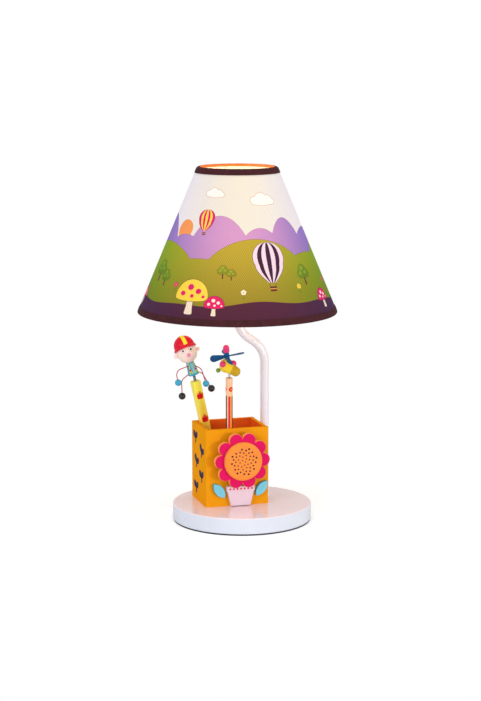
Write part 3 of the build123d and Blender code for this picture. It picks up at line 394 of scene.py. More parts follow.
@dataclass(frozen=True)
class LitGlass:
    """Opal glass with the filament's light in it: warm, and brightest round its middle."""

    name: str
    colour: str
    warm: str
    centre: float
    reach: float
    strength: float

    def build(self) -> Material:
        """Makes the material."""
        surface = Surface(self.name)
        height = surface.split(surface.place)[2]
        away = surface.math("ABSOLUTE", surface.math("SUBTRACT", height, self.centre))
        lit = surface.spread(away, 0.0, self.reach, 1.0, 0.0)
        light = surface.mix(lit, linear(self.warm), linear(self.colour))
        cloud = surface.mottle(3.0, 2.0)
        surface.raise_by(cloud, 0.05, 0.05)
        surface.set({"Base Color": linear("FFFAF0"), "Roughness": 0.3, "IOR": 1.5})
        surface.set({"Emission Color": light, "Emission Strength": self.strength})
        return surface.material


Finish = Lacquer | Moulding | Metal | Cloth | Tape | LitGlass

# Painted wood keeps its colour in broad light and shows a soft window of gloss.
# The foot is white lacquer: its top face is tinted blush pink as painted warm light from the lit shade, and
# its side blue-white as painted cool light.
FOOT = Lacquer(
    "white_lacquered_board", "E2E7F2", "DBE1EE", 0.18, 0.5, 2.5, Zone.TOWARDS, "FEE6E8",
    (0, 0, 0.0203), (0, 0, 0.0212),
)
# Inside the box the boards turn a deeper red-orange: painted shade and bounced light in the box's hollow.
BOARD = Lacquer(
    "orange_lacquered_board", "F0A01A", "EA9412", 0.45, 0.0, 2.0, Zone.INSIDE, "F96A22",
    (-0.0471, -0.0131, 0), (0.0242, 0.0426, 0), 0.0,
)
PETAL = Lacquer(
    "magenta_lacquered_plywood", "E20C60", "D80A5A", 0.42, 0.0, 2.0, Zone.EDGE, "F9A94F", shine=0.1
)
CENTRE = Lacquer("tangerine_lacquered_plywood", "F98E2E", "F48628", 0.38, 0.05, 2.0, Zone.EDGE, "F7A03F")
POT = Lacquer("rose_lacquered_plywood", "E8D0DC", "E2C7D5", 0.36, 0.15, 2.0, Zone.EDGE, "EFE0EC")
LEAF = Lacquer("turquoise_lacquered_plywood", "74CDE6", "66C4E0", 0.36, 0.15, 2.0, Zone.EDGE, "4FA7B8")
NAVY = Lacquer("navy_brushed_paint", "20103A", "2A1744", 0.5, 0.0, shine=0.1)
SKIN = Lacquer("peach_lacquered_bead", "FFE8DA", "FFDAD2", 0.32, 0.2)
RED = Lacquer("red_lacquered_bead", "E2163A", "D91430", 0.3, 0.08, shine=0.1)
LEMON = Lacquer("lemon_brushed_paint", "F2EA2E", "EAE02A", 0.38, 0.1)
SEA = Lacquer("sea_blue_lacquered_bead", "2FA6CB", "2497BF", 0.28, 0.3)
PALE_SEA = Lacquer("pale_blue_brushed_paint", "86C9D6", "7BBFD0", 0.4, 0.1)
LIME = Lacquer("lime_brushed_paint", "C6D530", "BCCB26", 0.4, 0.1)
BLACK = Lacquer("black_lacquered_bead", "17131C", "211A22", 0.2, 0.5)
# The pen's barrel grades to a lighter yellow towards its top: painted light from the lamp above.
YELLOW = Lacquer(
    "yellow_lacquered_rod", "FFDE48", "FFD644", 0.3, 0.15, 1.6, Zone.TOWARDS, "FFF050",
    (-0.0404, 0.03, 0.1198), (-0.0505, 0.03, 0.1657), 0.15,
)
FLAME = Lacquer("scarlet_brushed_paint", "E31B20", "DA161F", 0.38, 0.0, shine=0.06)
# The helicopter's nose grades to a darker mustard: partly its paint and partly painted shade under its
# body.
HULL = Lacquer(
    "golden_lacquered_bead", "F5CF2B", "EDC11F", 0.26, 0.3, 1.6, Zone.TOWARDS, "C89F08",
    (-0.02075, -0.01883, 0.19634), (-0.01811, -0.01964, 0.19517), 0.15,
)
PINK = Lacquer("hot_pink_lacquered_bead", "EA2B76", "E1246C", 0.28, 0.3)
BUD = Lacquer("green_lacquered_bead", "7E9B22", "708D1C", 0.28, 0.3)
PADDLE = Lacquer("deep_blue_lacquered_wood", "0A437E", "125A8C", 0.32, 0.05, shine=0.15)
PEACH = Lacquer("peach_lacquered_pencil", "FAC79C", "F7BC92", 0.26, 0.3)
BROWN = Lacquer("brown_lacquered_pencil", "5E2A26", "6A312B", 0.26, 0.3)
CRIMSON = Lacquer("crimson_lacquered_pencil", "E01E40", "D81A3A", 0.3, 0.1, shine=0.1)
ORANGE = Lacquer("orange_lacquered_pencil", "F59B34", "F0902B", 0.26, 0.3)
WHITE = Lacquer("white_brushed_paint", "FFFFFF", "FFFCF6", 0.3, 0.2)
IRIS = Lacquer("hazel_brushed_paint", "8A4A1C", "6E3814", 0.3, 0.2)
BLUSH = Lacquer("pink_brushed_paint", "F5A0C4", "F094BC", 0.4, 0.1)
CEDAR = Lacquer("bare_cedar", "DDB98C", "CFA676", 0.6, 0.0, 3.0)

# Enamel on the tube is thick, white and wet-looking.
ENAMEL = Moulding("white_enamelled_tube", "F1EDF6", "EBE7F1", 0.2, 2.5, 0.03, 0.15)
RUBBER = Moulding("black_foam_rubber", "2B262B", "352F34", 0.8, 0.5, 0.1)
HOLDER = Moulding("white_phenolic", "F1EEE6", "E9E5DC", 0.32, 0.9)
CLAY = Moulding("white_porcelain", "F0EDE4", "E6E2D8", 0.55, 0.5)
KNOB = Moulding("black_phenolic", "1D1B1D", "262326", 0.3, 0.9)
WIRE = Moulding("red_plastic_coated_wire", "BE1A3C", "B01634", 0.3, 0.6, 0.03, 0.1)
COATED = Moulding("white_epoxy_coat", "ECEAE6", "E2E0DC", 0.3, 0.8)
GRAPHITE = Moulding("graphite_core", "3C3C40", "2E2E32", 0.42, 0.4)

# Zinc, steel and brass: grey or yellow mirrors blurred by drawing lines.
ZINC = Metal("zinc_plated_steel", "BFC2C6", "A9ADB2", 0.34)
SPRING = Metal("dull_spring_wire", "A9A3A6", "8F898C", 0.42)
PEN_TIP = Metal("nickel_plated_brass", "D2D3D6", "C2C4C8", 0.2)
BRASS = Metal("rolled_brass", "D6B060", "C49C50", 0.3)
BULB_CAP = Metal("pressed_aluminium", "D0D0D0", "BCBEC0", 0.32)

# A lit lamp: the glass is the light; the glow of cloth and tape is painted light from it.
BULB = LitGlass("lit_opal_glass", "FFF3D8", "FFD9A0", 0.397, 0.05, 3.0)
LINING = Cloth("white_styrene_backing", "FFF4E0", "FFF4E0", 0.8, 3.0, 3.0, 0.35)
BINDING = Tape("brown_cotton_tape", "4E2429", "432024")
# The tape's inner return is a lit copy of the brown tape: painted orange lamp light and a painted glow.
BINDING_INSIDE = Tape("brown_cotton_tape_lit", "E0763A", "D8682E", 1.3, 0.45)


class Ink(Enum):
    """Each ink's colour in the bulb's painted glow at front and back, its cooler shaded copy at the sides,
    and the share of painted light left at the bottom.
    """

    SKY = ("EAE2D1", "EDE5EA", 0.75)
    CLOUD = ("F8F4EA", "F6F4F5", 0.9)
    CLOUD_LINE = ("DDA27C", "CFA3A0", 0.9)
    SUN = ("F9A552", "F2905A", 0.9)
    LILAC = ("D397C4", "8C74BE", 0.7)
    LILAC_LINE = ("C884A8", "7D66B0", 0.7)
    GREEN = ("BFA434", "87A51C", 0.58)
    GREEN_LINE = ("A8792F", "6F8A26", 0.62)
    LEAVES = ("8E9426", "5F8A22", 0.7)
    LEAVES_LIT = ("A9AE34", "7BA02A", 0.7)
    TRUNK = ("6A3B2E", "5B3338", 0.8)
    GROUND = ("683046", "562E58", 0.62)
    GROUND_LINE = ("8A4A3C", "5E3A50", 0.7)
    YELLOW = ("FDDA4A", "F3CF3E", 0.95)
    MAGENTA = ("E8206B", "D81B6C", 0.95)
    PINK = ("F6D8E2", "EED2E7", 0.9)
    DARK = ("43243C", "3A2244", 0.8)
    CREAM = ("FDF1D4", "F8ECE2", 0.95)
    STALK = ("F6E2C4", "EEDAD2", 0.95)


def focus(piece: Piece) -> None:
    """Selects one object alone and makes it active."""
    if bpy.context.mode != "OBJECT":
        bpy.ops.object.mode_set(mode="OBJECT")
    bpy.ops.object.select_all(action="DESELECT")
    piece.select_set(True)
    bpy.context.view_layer.objects.active = piece


@contextmanager
def editing(piece: Piece, kind: str = "VERT", whole: bool = True) -> Iterator[None]:
    """Opens a piece in edit mode and closes it again.

    Args:
        piece: The object.
        kind: VERT, EDGE or FACE selection.
        whole: Whether everything in it starts selected.
    """
    focus(piece)
    bpy.ops.object.mode_set(mode="EDIT")
    bpy.ops.mesh.select_mode(type=kind)
    if whole:
        bpy.ops.mesh.select_all(action="SELECT")
    yield
    bpy.ops.object.mode_set(mode="OBJECT")


def apply_all(piece: Piece) -> None:
    """Applies every modifier of a piece, in order."""
    focus(piece)
    for name in [m.name for m in piece.modifiers]:
        bpy.ops.object.modifier_apply(modifier=name)


def settle(piece: Piece, place: Matrix | None = None) -> Piece:
    """Puts a piece's place into its mesh, so that its object sits at the origin.

    Args:
        piece: The object.
        place: Where it goes, on top of where it is.

    Returns:
        The same piece.
    """
    bpy.context.view_layer.update()
    piece.data.transform((place or Matrix.Identity(4)) @ piece.matrix_world)
    piece.matrix_world = Matrix.Identity(4)
    piece.data.update()
    return piece


def smooth(piece: Piece, angle: float = 35.0) -> Piece:
    """Shades a piece smooth up to an angle in degrees."""
    focus(piece)
    bpy.ops.object.shade_smooth_by_angle(angle=math.radians(angle))
    return piece


def close_up(piece: Piece) -> Piece:
    """Merges doubles and turns all faces outwards."""
    with editing(piece):
        bpy.ops.mesh.remove_doubles(threshold=1e-6)
        bpy.ops.mesh.normals_make_consistent(inside=False)
    return piece


def axes(origin: Sequence[float], x: Sequence[float], z: Sequence[float]) -> Matrix:
    """A place with its own axes.

    Args:
        origin: Its origin.
        x: Roughly its x axis.
        z: Its z axis.

    Returns:
        The matrix from that place to the frame.
    """
    up = Vector(z).normalized()
    side = (Vector(x) - up * Vector(x).dot(up)).normalized()
    back = up.cross(side)
    turn = Matrix((side, back, up)).transposed().to_4x4()
    return Matrix.Translation(Vector(origin)) @ turn


def front_place(x: float, y: float, z: float) -> Matrix:
    """A place whose z axis points to the front."""
    return axes((x, y, z), (1, 0, 0), (0, -1, 0))


def outline_plate(points: Outline) -> Piece:
    """A flat plate of one face from an outline in millimetres, on z nought."""
    bpy.ops.mesh.primitive_circle_add(vertices=len(points), radius=MM, fill_type="NOTHING")
    plate = bpy.context.active_object
    for vertex, (x, y) in zip(plate.data.vertices, points):
        vertex.co = (x * MM, y * MM, 0.0)
    with editing(plate):
        bpy.ops.mesh.edge_face_add()
        bpy.ops.mesh.normals_make_consistent(inside=False)
    if plate.data.polygons[0].normal.z < 0:
        plate.data.flip_normals()
    return plate


def disc_plate(radius: float, rings: int = 4, stretch: float = 1.0) -> Piece:
    """A round plate with rings of faces, so that it can follow a curved surface.

    Args:
        radius: In millimetres.
        rings: How many rings.
        stretch: Height over width.

    Returns:
        The plate, on z nought.
    """
    bpy.ops.mesh.primitive_circle_add(vertices=48, radius=radius * MM, fill_type="NGON")
    plate = bpy.context.active_object
    with editing(plate, "FACE"):
        for _ in range(rings):
            bpy.ops.mesh.inset(thickness=radius * MM / (rings + 0.4), depth=0.0)
        bpy.ops.mesh.select_all(action="SELECT")
        bpy.ops.transform.resize(value=(1.0, stretch, 1.0))
    return plate


def strip_plate(width: float, length: float, cuts: int = 24) -> Piece:
    """A straight band of faces, its length along y, in millimetres."""
    bpy.ops.mesh.primitive_grid_add(x_subdivisions=4, y_subdivisions=cuts, size=MM)
    plate = bpy.context.active_object
    with editing(plate):
        bpy.ops.transform.resize(value=(width, length, 1.0))
    return plate


def draw_up(height: float, scale: float) -> None:
    """Extrudes what is selected by a height in millimetres and scales its new end."""
    bpy.ops.mesh.extrude_region_move(TRANSFORM_OT_translate={"value": (0, 0, height * MM)})
    if scale != 1.0:
        bpy.ops.transform.resize(value=(scale, scale, 1.0))


def lay_on(plate: Piece, target: Piece, place: Matrix, lift: float, thickness: float) -> Piece:
    """Lays a flat plate on a surface as a film of paint.

    Args:
        plate: The plate, on z nought.
        target: What it lies on.
        place: A place in front of the surface whose z axis points away from it.
        lift: Gap under the film in millimetres.
        thickness: The film's thickness in millimetres.

    Returns:
        The film, in place.
    """
    plate.matrix_world = place
    wrap = plate.modifiers.new("lay", "SHRINKWRAP")
    wrap.target = target
    wrap.wrap_method = "PROJECT"
    wrap.use_project_z = True
    wrap.use_negative_direction = True
    wrap.use_positive_direction = False
    wrap.offset = lift * MM
    film = plate.modifiers.new("film", "SOLIDIFY")
    film.thickness = thickness * MM
    film.offset = 1.0
    apply_all(plate)
    settle(plate)
    return smooth(plate, 40)


def join(pieces: Sequence[Piece]) -> Piece:
    """Joins pieces into the first of them."""
    focus(pieces[0])
    for piece in pieces[1:]:
        piece.select_set(True)
    if len(pieces) > 1:
        bpy.ops.object.join()
    return pieces[0]


def copied(piece: Piece, place: Matrix) -> Piece:
    """A copy of a piece with a mesh of its own, moved to a place."""
    twin = piece.copy()
    twin.data = piece.data.copy()
    bpy.context.scene.collection.objects.link(twin)
    return settle(twin, place)


def dress(piece: Piece, name: str, body: str, materials: Sequence[Material]) -> None:
    """Names a new piece, gives it its materials and lets it ride on a body.

    Args:
        piece: The piece, in place.
        name: Its name.
        body: The body that carries it.
        materials: One material for each slot of its mesh, in order.
    """
    piece.name = piece.data.name = name
    while len(piece.data.materials) < len(materials):
        piece.data.materials.append(None)
    for number, material in enumerate(materials):
        piece.data.materials[number] = material
    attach(piece, body)
    LOG.info("%s: %d faces on %s", name, len(piece.data.polygons), body)


def paint(films: Sequence[Piece], name: str, body: str, finish: Finish) -> None:
    """Makes one piece of one finish from films of paint."""
    dress(join(films), name, body, [finish.build()])


def repaint(paints: dict[Finish, str]) -> None:
    """Gives carried-over nodes better materials: each finish with the names of its nodes."""
    for finish, names in paints.items():
        material = finish.build()
        for name in names.split():
            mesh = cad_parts[name].data
            if not mesh.materials:
                mesh.materials.append(material)
            for number in range(len(mesh.materials)):
                mesh.materials[number] = material


def spun(section: Outline, centre: Point, steps: int) -> Piece:
    """A closed section turned once round an upright axis.

    Args:
        section: Radius and height of each point, in metres, in order round the section.
        centre: Where the axis stands.
        steps: How many copies of the section.

    Returns:
        The ring, with its faces outwards.
    """
    bpy.ops.mesh.primitive_circle_add(vertices=len(section), radius=MM, fill_type="NOTHING")
    ring = bpy.context.active_object
    for vertex, (radius, height) in zip(ring.data.vertices, section):
        vertex.co = (centre[0] + radius, centre[1], height)
    with editing(ring):
        bpy.ops.mesh.spin(steps=steps, angle=2 * math.pi, center=(*centre, 0.0), axis=(0.0, 0.0, 1.0))
    return close_up(ring)


def oval(x: float, y: float, wide: float, tall: float, turn: float = 0.0, count: int = 36) -> Outline:
    """An oval's outline.

    Args:
        x: Its middle across.
        y: Its middle up.
        wide: Half its width.
        tall: Half its height.
        turn: Degrees that it is turned to the left.
        count: How many points.

    Returns:
        Points in order.
    """
    c, s = math.cos(math.radians(turn)), math.sin(math.radians(turn))
    points = []
    for i in range(count):
        a = 2 * math.pi * i / count
        u, v = wide * math.cos(a), tall * math.sin(a)
        points.append((x + u * c - v * s, y + u * s + v * c))
    return points


@dataclass
class Cone:
    """The shade's cone, measured on its printed face."""

    centre: Point = (0.0015, 0.0245)
    bottom: float = 0.2609
    top: float = 0.4405
    bottom_radius: float = 0.124773
    top_radius: float = 0.050119
    front: float = -16.97

    @property
    def slope(self) -> float:
        """Lean of the wall from upright, in radians."""
        return math.atan2(self.bottom_radius - self.top_radius, self.top - self.bottom)

    @property
    def length(self) -> float:
        """Length of the wall along its slope."""
        return math.hypot(self.bottom_radius - self.top_radius, self.top - self.bottom)

    def radius(self, along: float) -> float:
        """Radius at a distance up the slope."""
        return self.bottom_radius - (self.bottom_radius - self.top_radius) * along / self.length

    def direction(self, turn: float) -> Vector:
        """Outward direction at an angle in radians, counted to the right of the shade's front."""
        a = math.radians(self.front) + turn
        return Vector((math.sin(a), -math.cos(a), 0.0))

    def point(self, turn: float, along: float, depth: float = 0.0) -> Vector:
        """A point on the wall, or that far under it."""
        out = self.direction(turn)
        radius = self.radius(along) - depth * math.cos(self.slope)
        height = self.bottom + along * math.cos(self.slope) - depth * math.sin(self.slope)
        return Vector((self.centre[0] + out.x * radius, self.centre[1] + out.y * radius, height))

    def turn_of(self, point: Vector) -> float:
        """Angle of a point to the right of the shade's front, in radians."""
        a = math.atan2(point.x - self.centre[0], -(point.y - self.centre[1]))
        return (a - math.radians(self.front) + math.pi) % (2 * math.pi) - math.pi


def unwrap(piece: Piece, cone: Cone, radius: float) -> None:
    """Gives a piece round the lamp a map of millimetre-true lengths: round the axis and up.

    Args:
        piece: The piece.
        cone: The shade's cone, for its axis.
        radius: Radius at which the map is true.
    """
    mesh = piece.data
    layer = mesh.uv_layers.active or mesh.uv_layers.new(name="wrap")
    lean = math.cos(cone.slope)
    for face in mesh.polygons:
        turns = [cone.turn_of(mesh.vertices[mesh.loops[i].vertex_index].co) for i in face.loop_indices]
        wide = max(turns) - min(turns) > math.pi
        for i, turn in zip(face.loop_indices, turns):
            height = mesh.vertices[mesh.loops[i].vertex_index].co.z
            around = turn + (2 * math.pi if wide and turn < 0 else 0)
            layer.data[i].uv = (around * radius, height / lean)


Shapes = Iterable[tuple[Ink, Outline]]


def cloud(line: float) -> Shapes:
    """A cloud of round puffs, with a line of that width round it."""
    puffs = [(-9, 1, 6, 5), (-2, 4, 7, 6.5), (6, 2.4, 6.5, 5), (11, -0.5, 4.5, 3.6), (0, -1.6, 11, 3.4)]
    for ink, grow in ((Ink.CLOUD_LINE, line), (Ink.CLOUD, 0.0)):
        for x, y, wide, tall in puffs:
            yield ink, oval(x, y, wide + grow, tall + grow)


def tree(line: float) -> Shapes:
    """A round-headed tree, with a line of that width round its leaves."""
    yield Ink.TRUNK, [(-1.5, 0), (1.5, 0), (1.0, 15), (-1.0, 15)]
    for ink, grow in ((Ink.GREEN_LINE, line), (Ink.LEAVES, 0.0)):
        for x, y, wide, tall in ((-5, 15, 6.5, 6), (5, 15.5, 6.5, 6), (0, 20.5, 7.5, 7)):
            yield ink, oval(x, y, wide + grow, tall + grow)
    for x, y, wide in ((-5.6, 16.2, 3.4), (4.0, 17, 3.0), (-1.2, 22.6, 3.8)):
        yield Ink.LEAVES_LIT, oval(x, y, wide, wide * 0.8, 20)


def mushroom(line: float, cap: Ink, dot: Ink) -> Shapes:
    """A spotted mushroom.

    Args:
        line: Width of the line round its cap.
        cap: Colour of its cap.
        dot: Colour of its spots.

    Yields:
        Each shape's colour and outline.
    """
    stalk = [(-3.4, 0), (-2.2, -0.8), (2.2, -0.8), (3.4, 0), (2.6, 5), (2.5, 13), (-2.5, 13), (-2.6, 5)]
    yield Ink.GROUND_LINE, [(x * 1.18, y) for x, y in stalk]
    yield Ink.STALK, stalk
    half, brim, dome, belly, middle = 14, 12, 14.5, 2.6, 15
    over = [math.pi * i / 30 for i in range(31)]
    under = [math.pi + math.pi * i / 20 for i in range(1, 20)]
    rim = [(half * math.cos(a), brim + dome * math.sin(a)) for a in over]
    rim += [(half * math.cos(a), brim + belly * math.sin(a)) for a in under]
    for ink, grow in ((Ink.TRUNK, line), (cap, 0.0)):
        ring = []
        for x, y in rim:
            out = 1 + grow / math.hypot(x, y - middle)
            ring.append((x * out, middle + (y - middle) * out))
        yield ink, ring
    spots = [(-7.5, 15.2, 2.1), (-1.4, 20.4, 2.6), (5.6, 17.4, 2.3), (0.8, 13.6, 1.6), (10.2, 13.4, 1.3)]
    for x, y, wide in spots:
        yield dot, oval(x, y, wide, wide * 0.92, 0, 24)


def balloon(line: float, first: Ink, second: Ink) -> Shapes:
    """A striped hot-air balloon with its basket.

    Args:
        line: Width of the line round its envelope.
        first: Colour of the outer and middle stripes.
        second: Colour of the stripes between them.

    Yields:
        Each shape's colour and outline.
    """
    middle, radius, shoulder, throat, mouth = 26.0, 17.0, 19.0, 3.6, 9.0
    levels = [43.0 * i / 44 for i in range(45)]

    def half_width(height: float) -> float:
        """Half the envelope's width at a height above its mouth."""
        if height > shoulder:
            return math.sqrt(max(radius**2 - (height - middle) ** 2, 0.0))
        edge = math.sqrt(radius**2 - (shoulder - middle) ** 2)
        return throat + (edge - throat) * math.sin(math.pi / 2 * height / shoulder) ** 1.05

    def gore(left: float, right: float, grow: float) -> Outline:
        """A stripe between two shares of the envelope's half width."""
        up = [(right * (half_width(h) + grow), h + mouth) for h in levels]
        return up + [(left * (half_width(h) + grow), h + mouth) for h in reversed(levels)]

    rope = [(3.0, 5.0), (3.4, 5.0), (3.7, mouth + 0.4), (3.2, mouth + 0.4)]
    for side in (-1, 1):
        yield Ink.TRUNK, [(side * x, y) for x, y in rope]
    yield Ink.TRUNK, [(-3.4, 0.4), (-2.9, 0), (2.9, 0), (3.4, 0.4), (3.9, 5.2), (-3.9, 5.2)]
    yield Ink.SUN, [(-3.4, 2.2), (3.4, 2.2), (3.55, 3.2), (-3.55, 3.2)]
    yield Ink.DARK, gore(-1.0, 1.0, line)
    edges = (-1.0, -0.72, -0.44, -0.15, 0.15, 0.44, 0.72, 1.0)
    for number, (left, right) in enumerate(zip(edges, edges[1:])):
        yield (first, second)[number % 2], gore(left, right, 0.0)


def daisy(petal: Ink) -> Shapes:
    """A tuft of grass with one small bloom."""
    blade, heart, reach = 5.5, 8.4, 1.9
    for lean in (-28, 0, 26):
        a = math.radians(lean)
        yield Ink.LEAVES, [(-0.7, 0), (0.7, 0), (blade * math.sin(a), blade * math.cos(a))]
    for number in range(5):
        a = math.radians(90 + 72 * number)
        yield petal, oval(reach * math.cos(a), heart + reach * math.sin(a), 1.5, 1.5, 0, 18)
    yield Ink.SUN, oval(0, heart, 1.1, 1.1, 0, 16)


def hills(tops: Sequence[Triple], base: float) -> Callable[[float], float]:
    """A skyline of rounded hills.

    Args:
        tops: Middle and half width in degrees, and height share, of each hill.
        base: Height share between them.

    Returns:
        Height share by degrees.
    """

    def height(degrees: float) -> float:
        """Height share of the skyline at an angle."""
        best = base
        for middle, half, top in tops:
            off = ((degrees - middle + 180) % 360 - 180) / half
            if abs(off) < 1:
                best = max(best, base + (top - base) * math.sqrt(1 - off * off) ** 1.15)
        return best

    return height


def soil(degrees: float) -> float:
    """Height share of the ground at an angle."""
    a = math.radians(degrees)
    return 0.128 + 0.014 * math.sin(3 * a + 0.6) + 0.009 * math.sin(7 * a)


@dataclass
class ShadePrint:
    """The printed cloth: hills, trees, balloons and mushrooms, laid out flat and rolled into the cone."""

    cone: Cone
    thickness: float = 0.8 * MM
    columns: int = 180
    rows: int = 14
    steps: int = 720
    line: float = 0.55
    below: float = -0.01
    rim_limit: float = 0.7
    unit: float = 0.1

    def __post_init__(self) -> None:
        """Starts with a bare sheet."""
        self.layers: list[tuple[Ink, Outline]] = []

    def lay(self, turn: float, share: float, size: float, shapes: Shapes) -> None:
        """Adds shapes to the print.

        Args:
            turn: Degrees of their middle to the right of the front.
            share: Height of their foot as a share of the slope.
            size: Their scale.
            shapes: Each one's colour and its outline, in millimetres from there.
        """
        foot = share * self.cone.length
        for ink, outline in shapes:
            placed = []
            for x, y in outline:
                along = foot + y * size * MM
                placed.append((math.radians(turn) + x * size * MM / self.cone.radius(along), along))
            self.layers.append((ink, placed))

    def band(self, line: Ink, ink: Ink, height: Callable[[float], float]) -> None:
        """Adds a strip of land from the bottom edge up to a skyline, with a line along its top.

        Args:
            line: The line's colour.
            ink: The land's colour.
            height: Share of the slope that the skyline has at an angle in degrees.
        """
        angles = [-180 + 360 * i / self.steps for i in range(self.steps + 1)]
        for colour, lift in ((line, self.line), (ink, 0.0)):
            top = [(math.radians(a), height(a) * self.cone.length + lift * MM) for a in angles]
            self.layers.append((colour, top + [(math.pi, self.below), (-math.pi, self.below)]))

    def compose(self) -> None:
        """Lays out the whole print, from the sky to what stands in front."""
        sky = [(-math.pi, self.below), (math.pi, self.below), (math.pi, 1.0), (-math.pi, 1.0)]
        self.layers.append((Ink.SKY, sky))
        for turn, share in ((-52, 0.60), (132, 0.62)):
            self.lay(turn, share, 1.0, [(Ink.SUN, oval(0, 0, 13, 13, count=48))])
        far = [
            (-158, 26, 0.66), (-122, 24, 0.60), (-86, 28, 0.69), (-48, 20, 0.57), (-16, 27, 0.70),
            (20, 19, 0.62), (46, 18, 0.68), (78, 25, 0.60), (112, 22, 0.68), (150, 27, 0.60),
        ]
        self.band(Ink.LILAC_LINE, Ink.LILAC, hills(far, 0.46))
        near = [
            (-170, 42, 0.50), (-118, 36, 0.42), (-70, 38, 0.51), (-28, 30, 0.42), (14, 40, 0.55),
            (62, 34, 0.44), (104, 36, 0.52), (150, 34, 0.43),
        ]
        self.band(Ink.GREEN_LINE, Ink.GREEN, hills(near, 0.33))
        for turn, share, size in (
            (-66, 0.245, 1.0), (-57, 0.225, 0.75), (52, 0.235, 0.95), (-10, 0.30, 0.6), (-4, 0.29, 0.5),
            (100, 0.26, 1.0), (112, 0.24, 0.7), (-128, 0.25, 0.9), (168, 0.27, 1.0), (-160, 0.25, 0.7),
        ):
            self.lay(turn, share, size, tree(self.line / size))
        for turn, share, size, first, second in (
            (24, 0.215, 1.18, Ink.PINK, Ink.DARK), (-30, 0.575, 0.62, Ink.MAGENTA, Ink.YELLOW),
            (146, 0.36, 1.0, Ink.YELLOW, Ink.MAGENTA), (-106, 0.44, 0.85, Ink.PINK, Ink.MAGENTA),
        ):
            self.lay(turn, share, size, balloon(self.line / size, first, second))
        for turn, share, petal in (
            (-44, 0.2, Ink.MAGENTA), (4, 0.17, Ink.CREAM), (44, 0.19, Ink.YELLOW),
            (78, 0.2, Ink.MAGENTA), (128, 0.2, Ink.CREAM), (-98, 0.19, Ink.YELLOW),
            (-146, 0.2, Ink.CREAM), (178, 0.19, Ink.MAGENTA),
        ):
            self.lay(turn, share, 1.0, daisy(petal))
        self.band(Ink.GROUND_LINE, Ink.GROUND, soil)
        for turn, share, size, cap, dot in (
            (-30, 0.07, 1.6, Ink.YELLOW, Ink.MAGENTA), (-14, 0.065, 0.9, Ink.MAGENTA, Ink.CREAM),
            (66, 0.075, 0.9, Ink.MAGENTA, Ink.CREAM), (116, 0.075, 1.2, Ink.YELLOW, Ink.MAGENTA),
            (-84, 0.075, 0.85, Ink.MAGENTA, Ink.CREAM), (-134, 0.075, 1.1, Ink.MAGENTA, Ink.CREAM),
            (-122, 0.07, 0.65, Ink.YELLOW, Ink.MAGENTA), (158, 0.07, 0.8, Ink.MAGENTA, Ink.CREAM),
        ):
            self.lay(turn, share, size, mushroom(self.line / size, cap, dot))
        for turn, share, size in (
            (-26, 0.84, 0.8), (28, 0.795, 1.05), (116, 0.82, 0.9), (166, 0.80, 0.95),
            (-118, 0.80, 1.0), (-158, 0.84, 0.8),
        ):
            self.lay(turn, share, size, cloud(self.line / size))

    def sheet(self) -> tuple[np.ndarray, list[tuple[int, ...]], np.ndarray]:
        """Cuts the flat sheet along every outline.

        Returns:
            Angle and slope distance of each point, the faces, and the number of each face's colour.
        """
        points: list[Vector] = []
        edges: list[tuple[int, int]] = []
        tall = self.cone.length
        for row in range(self.rows + 1):
            for column in range(self.columns + 1):
                turn = -math.pi + 2 * math.pi * column / self.columns
                points.append(Vector((turn * self.unit, tall * row / self.rows)))
        wide = self.columns + 1
        for row in (0, self.rows):
            edges += [(row * wide + i, row * wide + i + 1) for i in range(self.columns)]
        for column in (0, self.columns):
            edges += [(i * wide + column, (i + 1) * wide + column) for i in range(self.rows)]
        for _, outline in self.layers[1:]:
            start = len(points)
            clipped = [(t, min(max(s, 0.0), tall)) for t, s in outline]
            points += [Vector((t * self.unit, s)) for t, s in clipped]
            edges += [(start + i, start + (i + 1) % len(clipped)) for i in range(len(clipped))]
        cut = delaunay_2d_cdt(points, edges, [], 0, 1e-7)
        flat = np.array([(p.x / self.unit, p.y) for p in cut[0]])
        faces = [tuple(f) for f in cut[2]]
        middles = np.array([flat[list(f)].mean(axis=0) for f in faces])
        inks = np.zeros(len(faces), dtype=int)
        for ink, outline in self.layers:
            inks[self.inside(middles, np.array(outline))] = list(Ink).index(ink)
        return flat, faces, inks

    @staticmethod
    def inside(points: np.ndarray, outline: np.ndarray) -> np.ndarray:
        """Which points lie inside an outline.

        Args:
            points: One row for each point.
            outline: One row for each corner.

        Returns:
            A truth value for each point.
        """
        within = np.zeros(len(points), dtype=bool)
        x, y = points[:, 0], points[:, 1]
        for (x1, y1), (x2, y2) in zip(outline, np.roll(outline, -1, axis=0)):
            if y1 != y2:
                crosses = (y1 > y) != (y2 > y)
                within ^= crosses & (x < (x2 - x1) * (y - y1) / (y2 - y1) + x1)
        return within

    def build(self) -> Piece:
        """Rolls the sheet into the cone, with its backing inside."""
        self.compose()
        flat, faces, inks = self.sheet()
        mesh = bpy.data.meshes.new("shade_cloth")
        mesh.from_pydata([self.cone.point(t, s) for t, s in flat], [], faces)
        for face, ink in zip(mesh.polygons, inks):
            face.material_index = int(ink)
        cloth = bpy.data.objects.new("shade_cloth", mesh)
        bpy.context.scene.collection.objects.link(cloth)
        for _ in range(len(Ink) + 1):
            mesh.materials.append(None)
        with editing(cloth):
            bpy.ops.mesh.remove_doubles(threshold=1e-6)
        wall = cloth.modifiers.new("wall", "SOLIDIFY")
        wall.thickness = self.thickness
        wall.offset = -1.0
        wall.material_offset = wall.material_offset_rim = len(Ink)
        apply_all(cloth)
        self.finish(cloth)
        return cloth

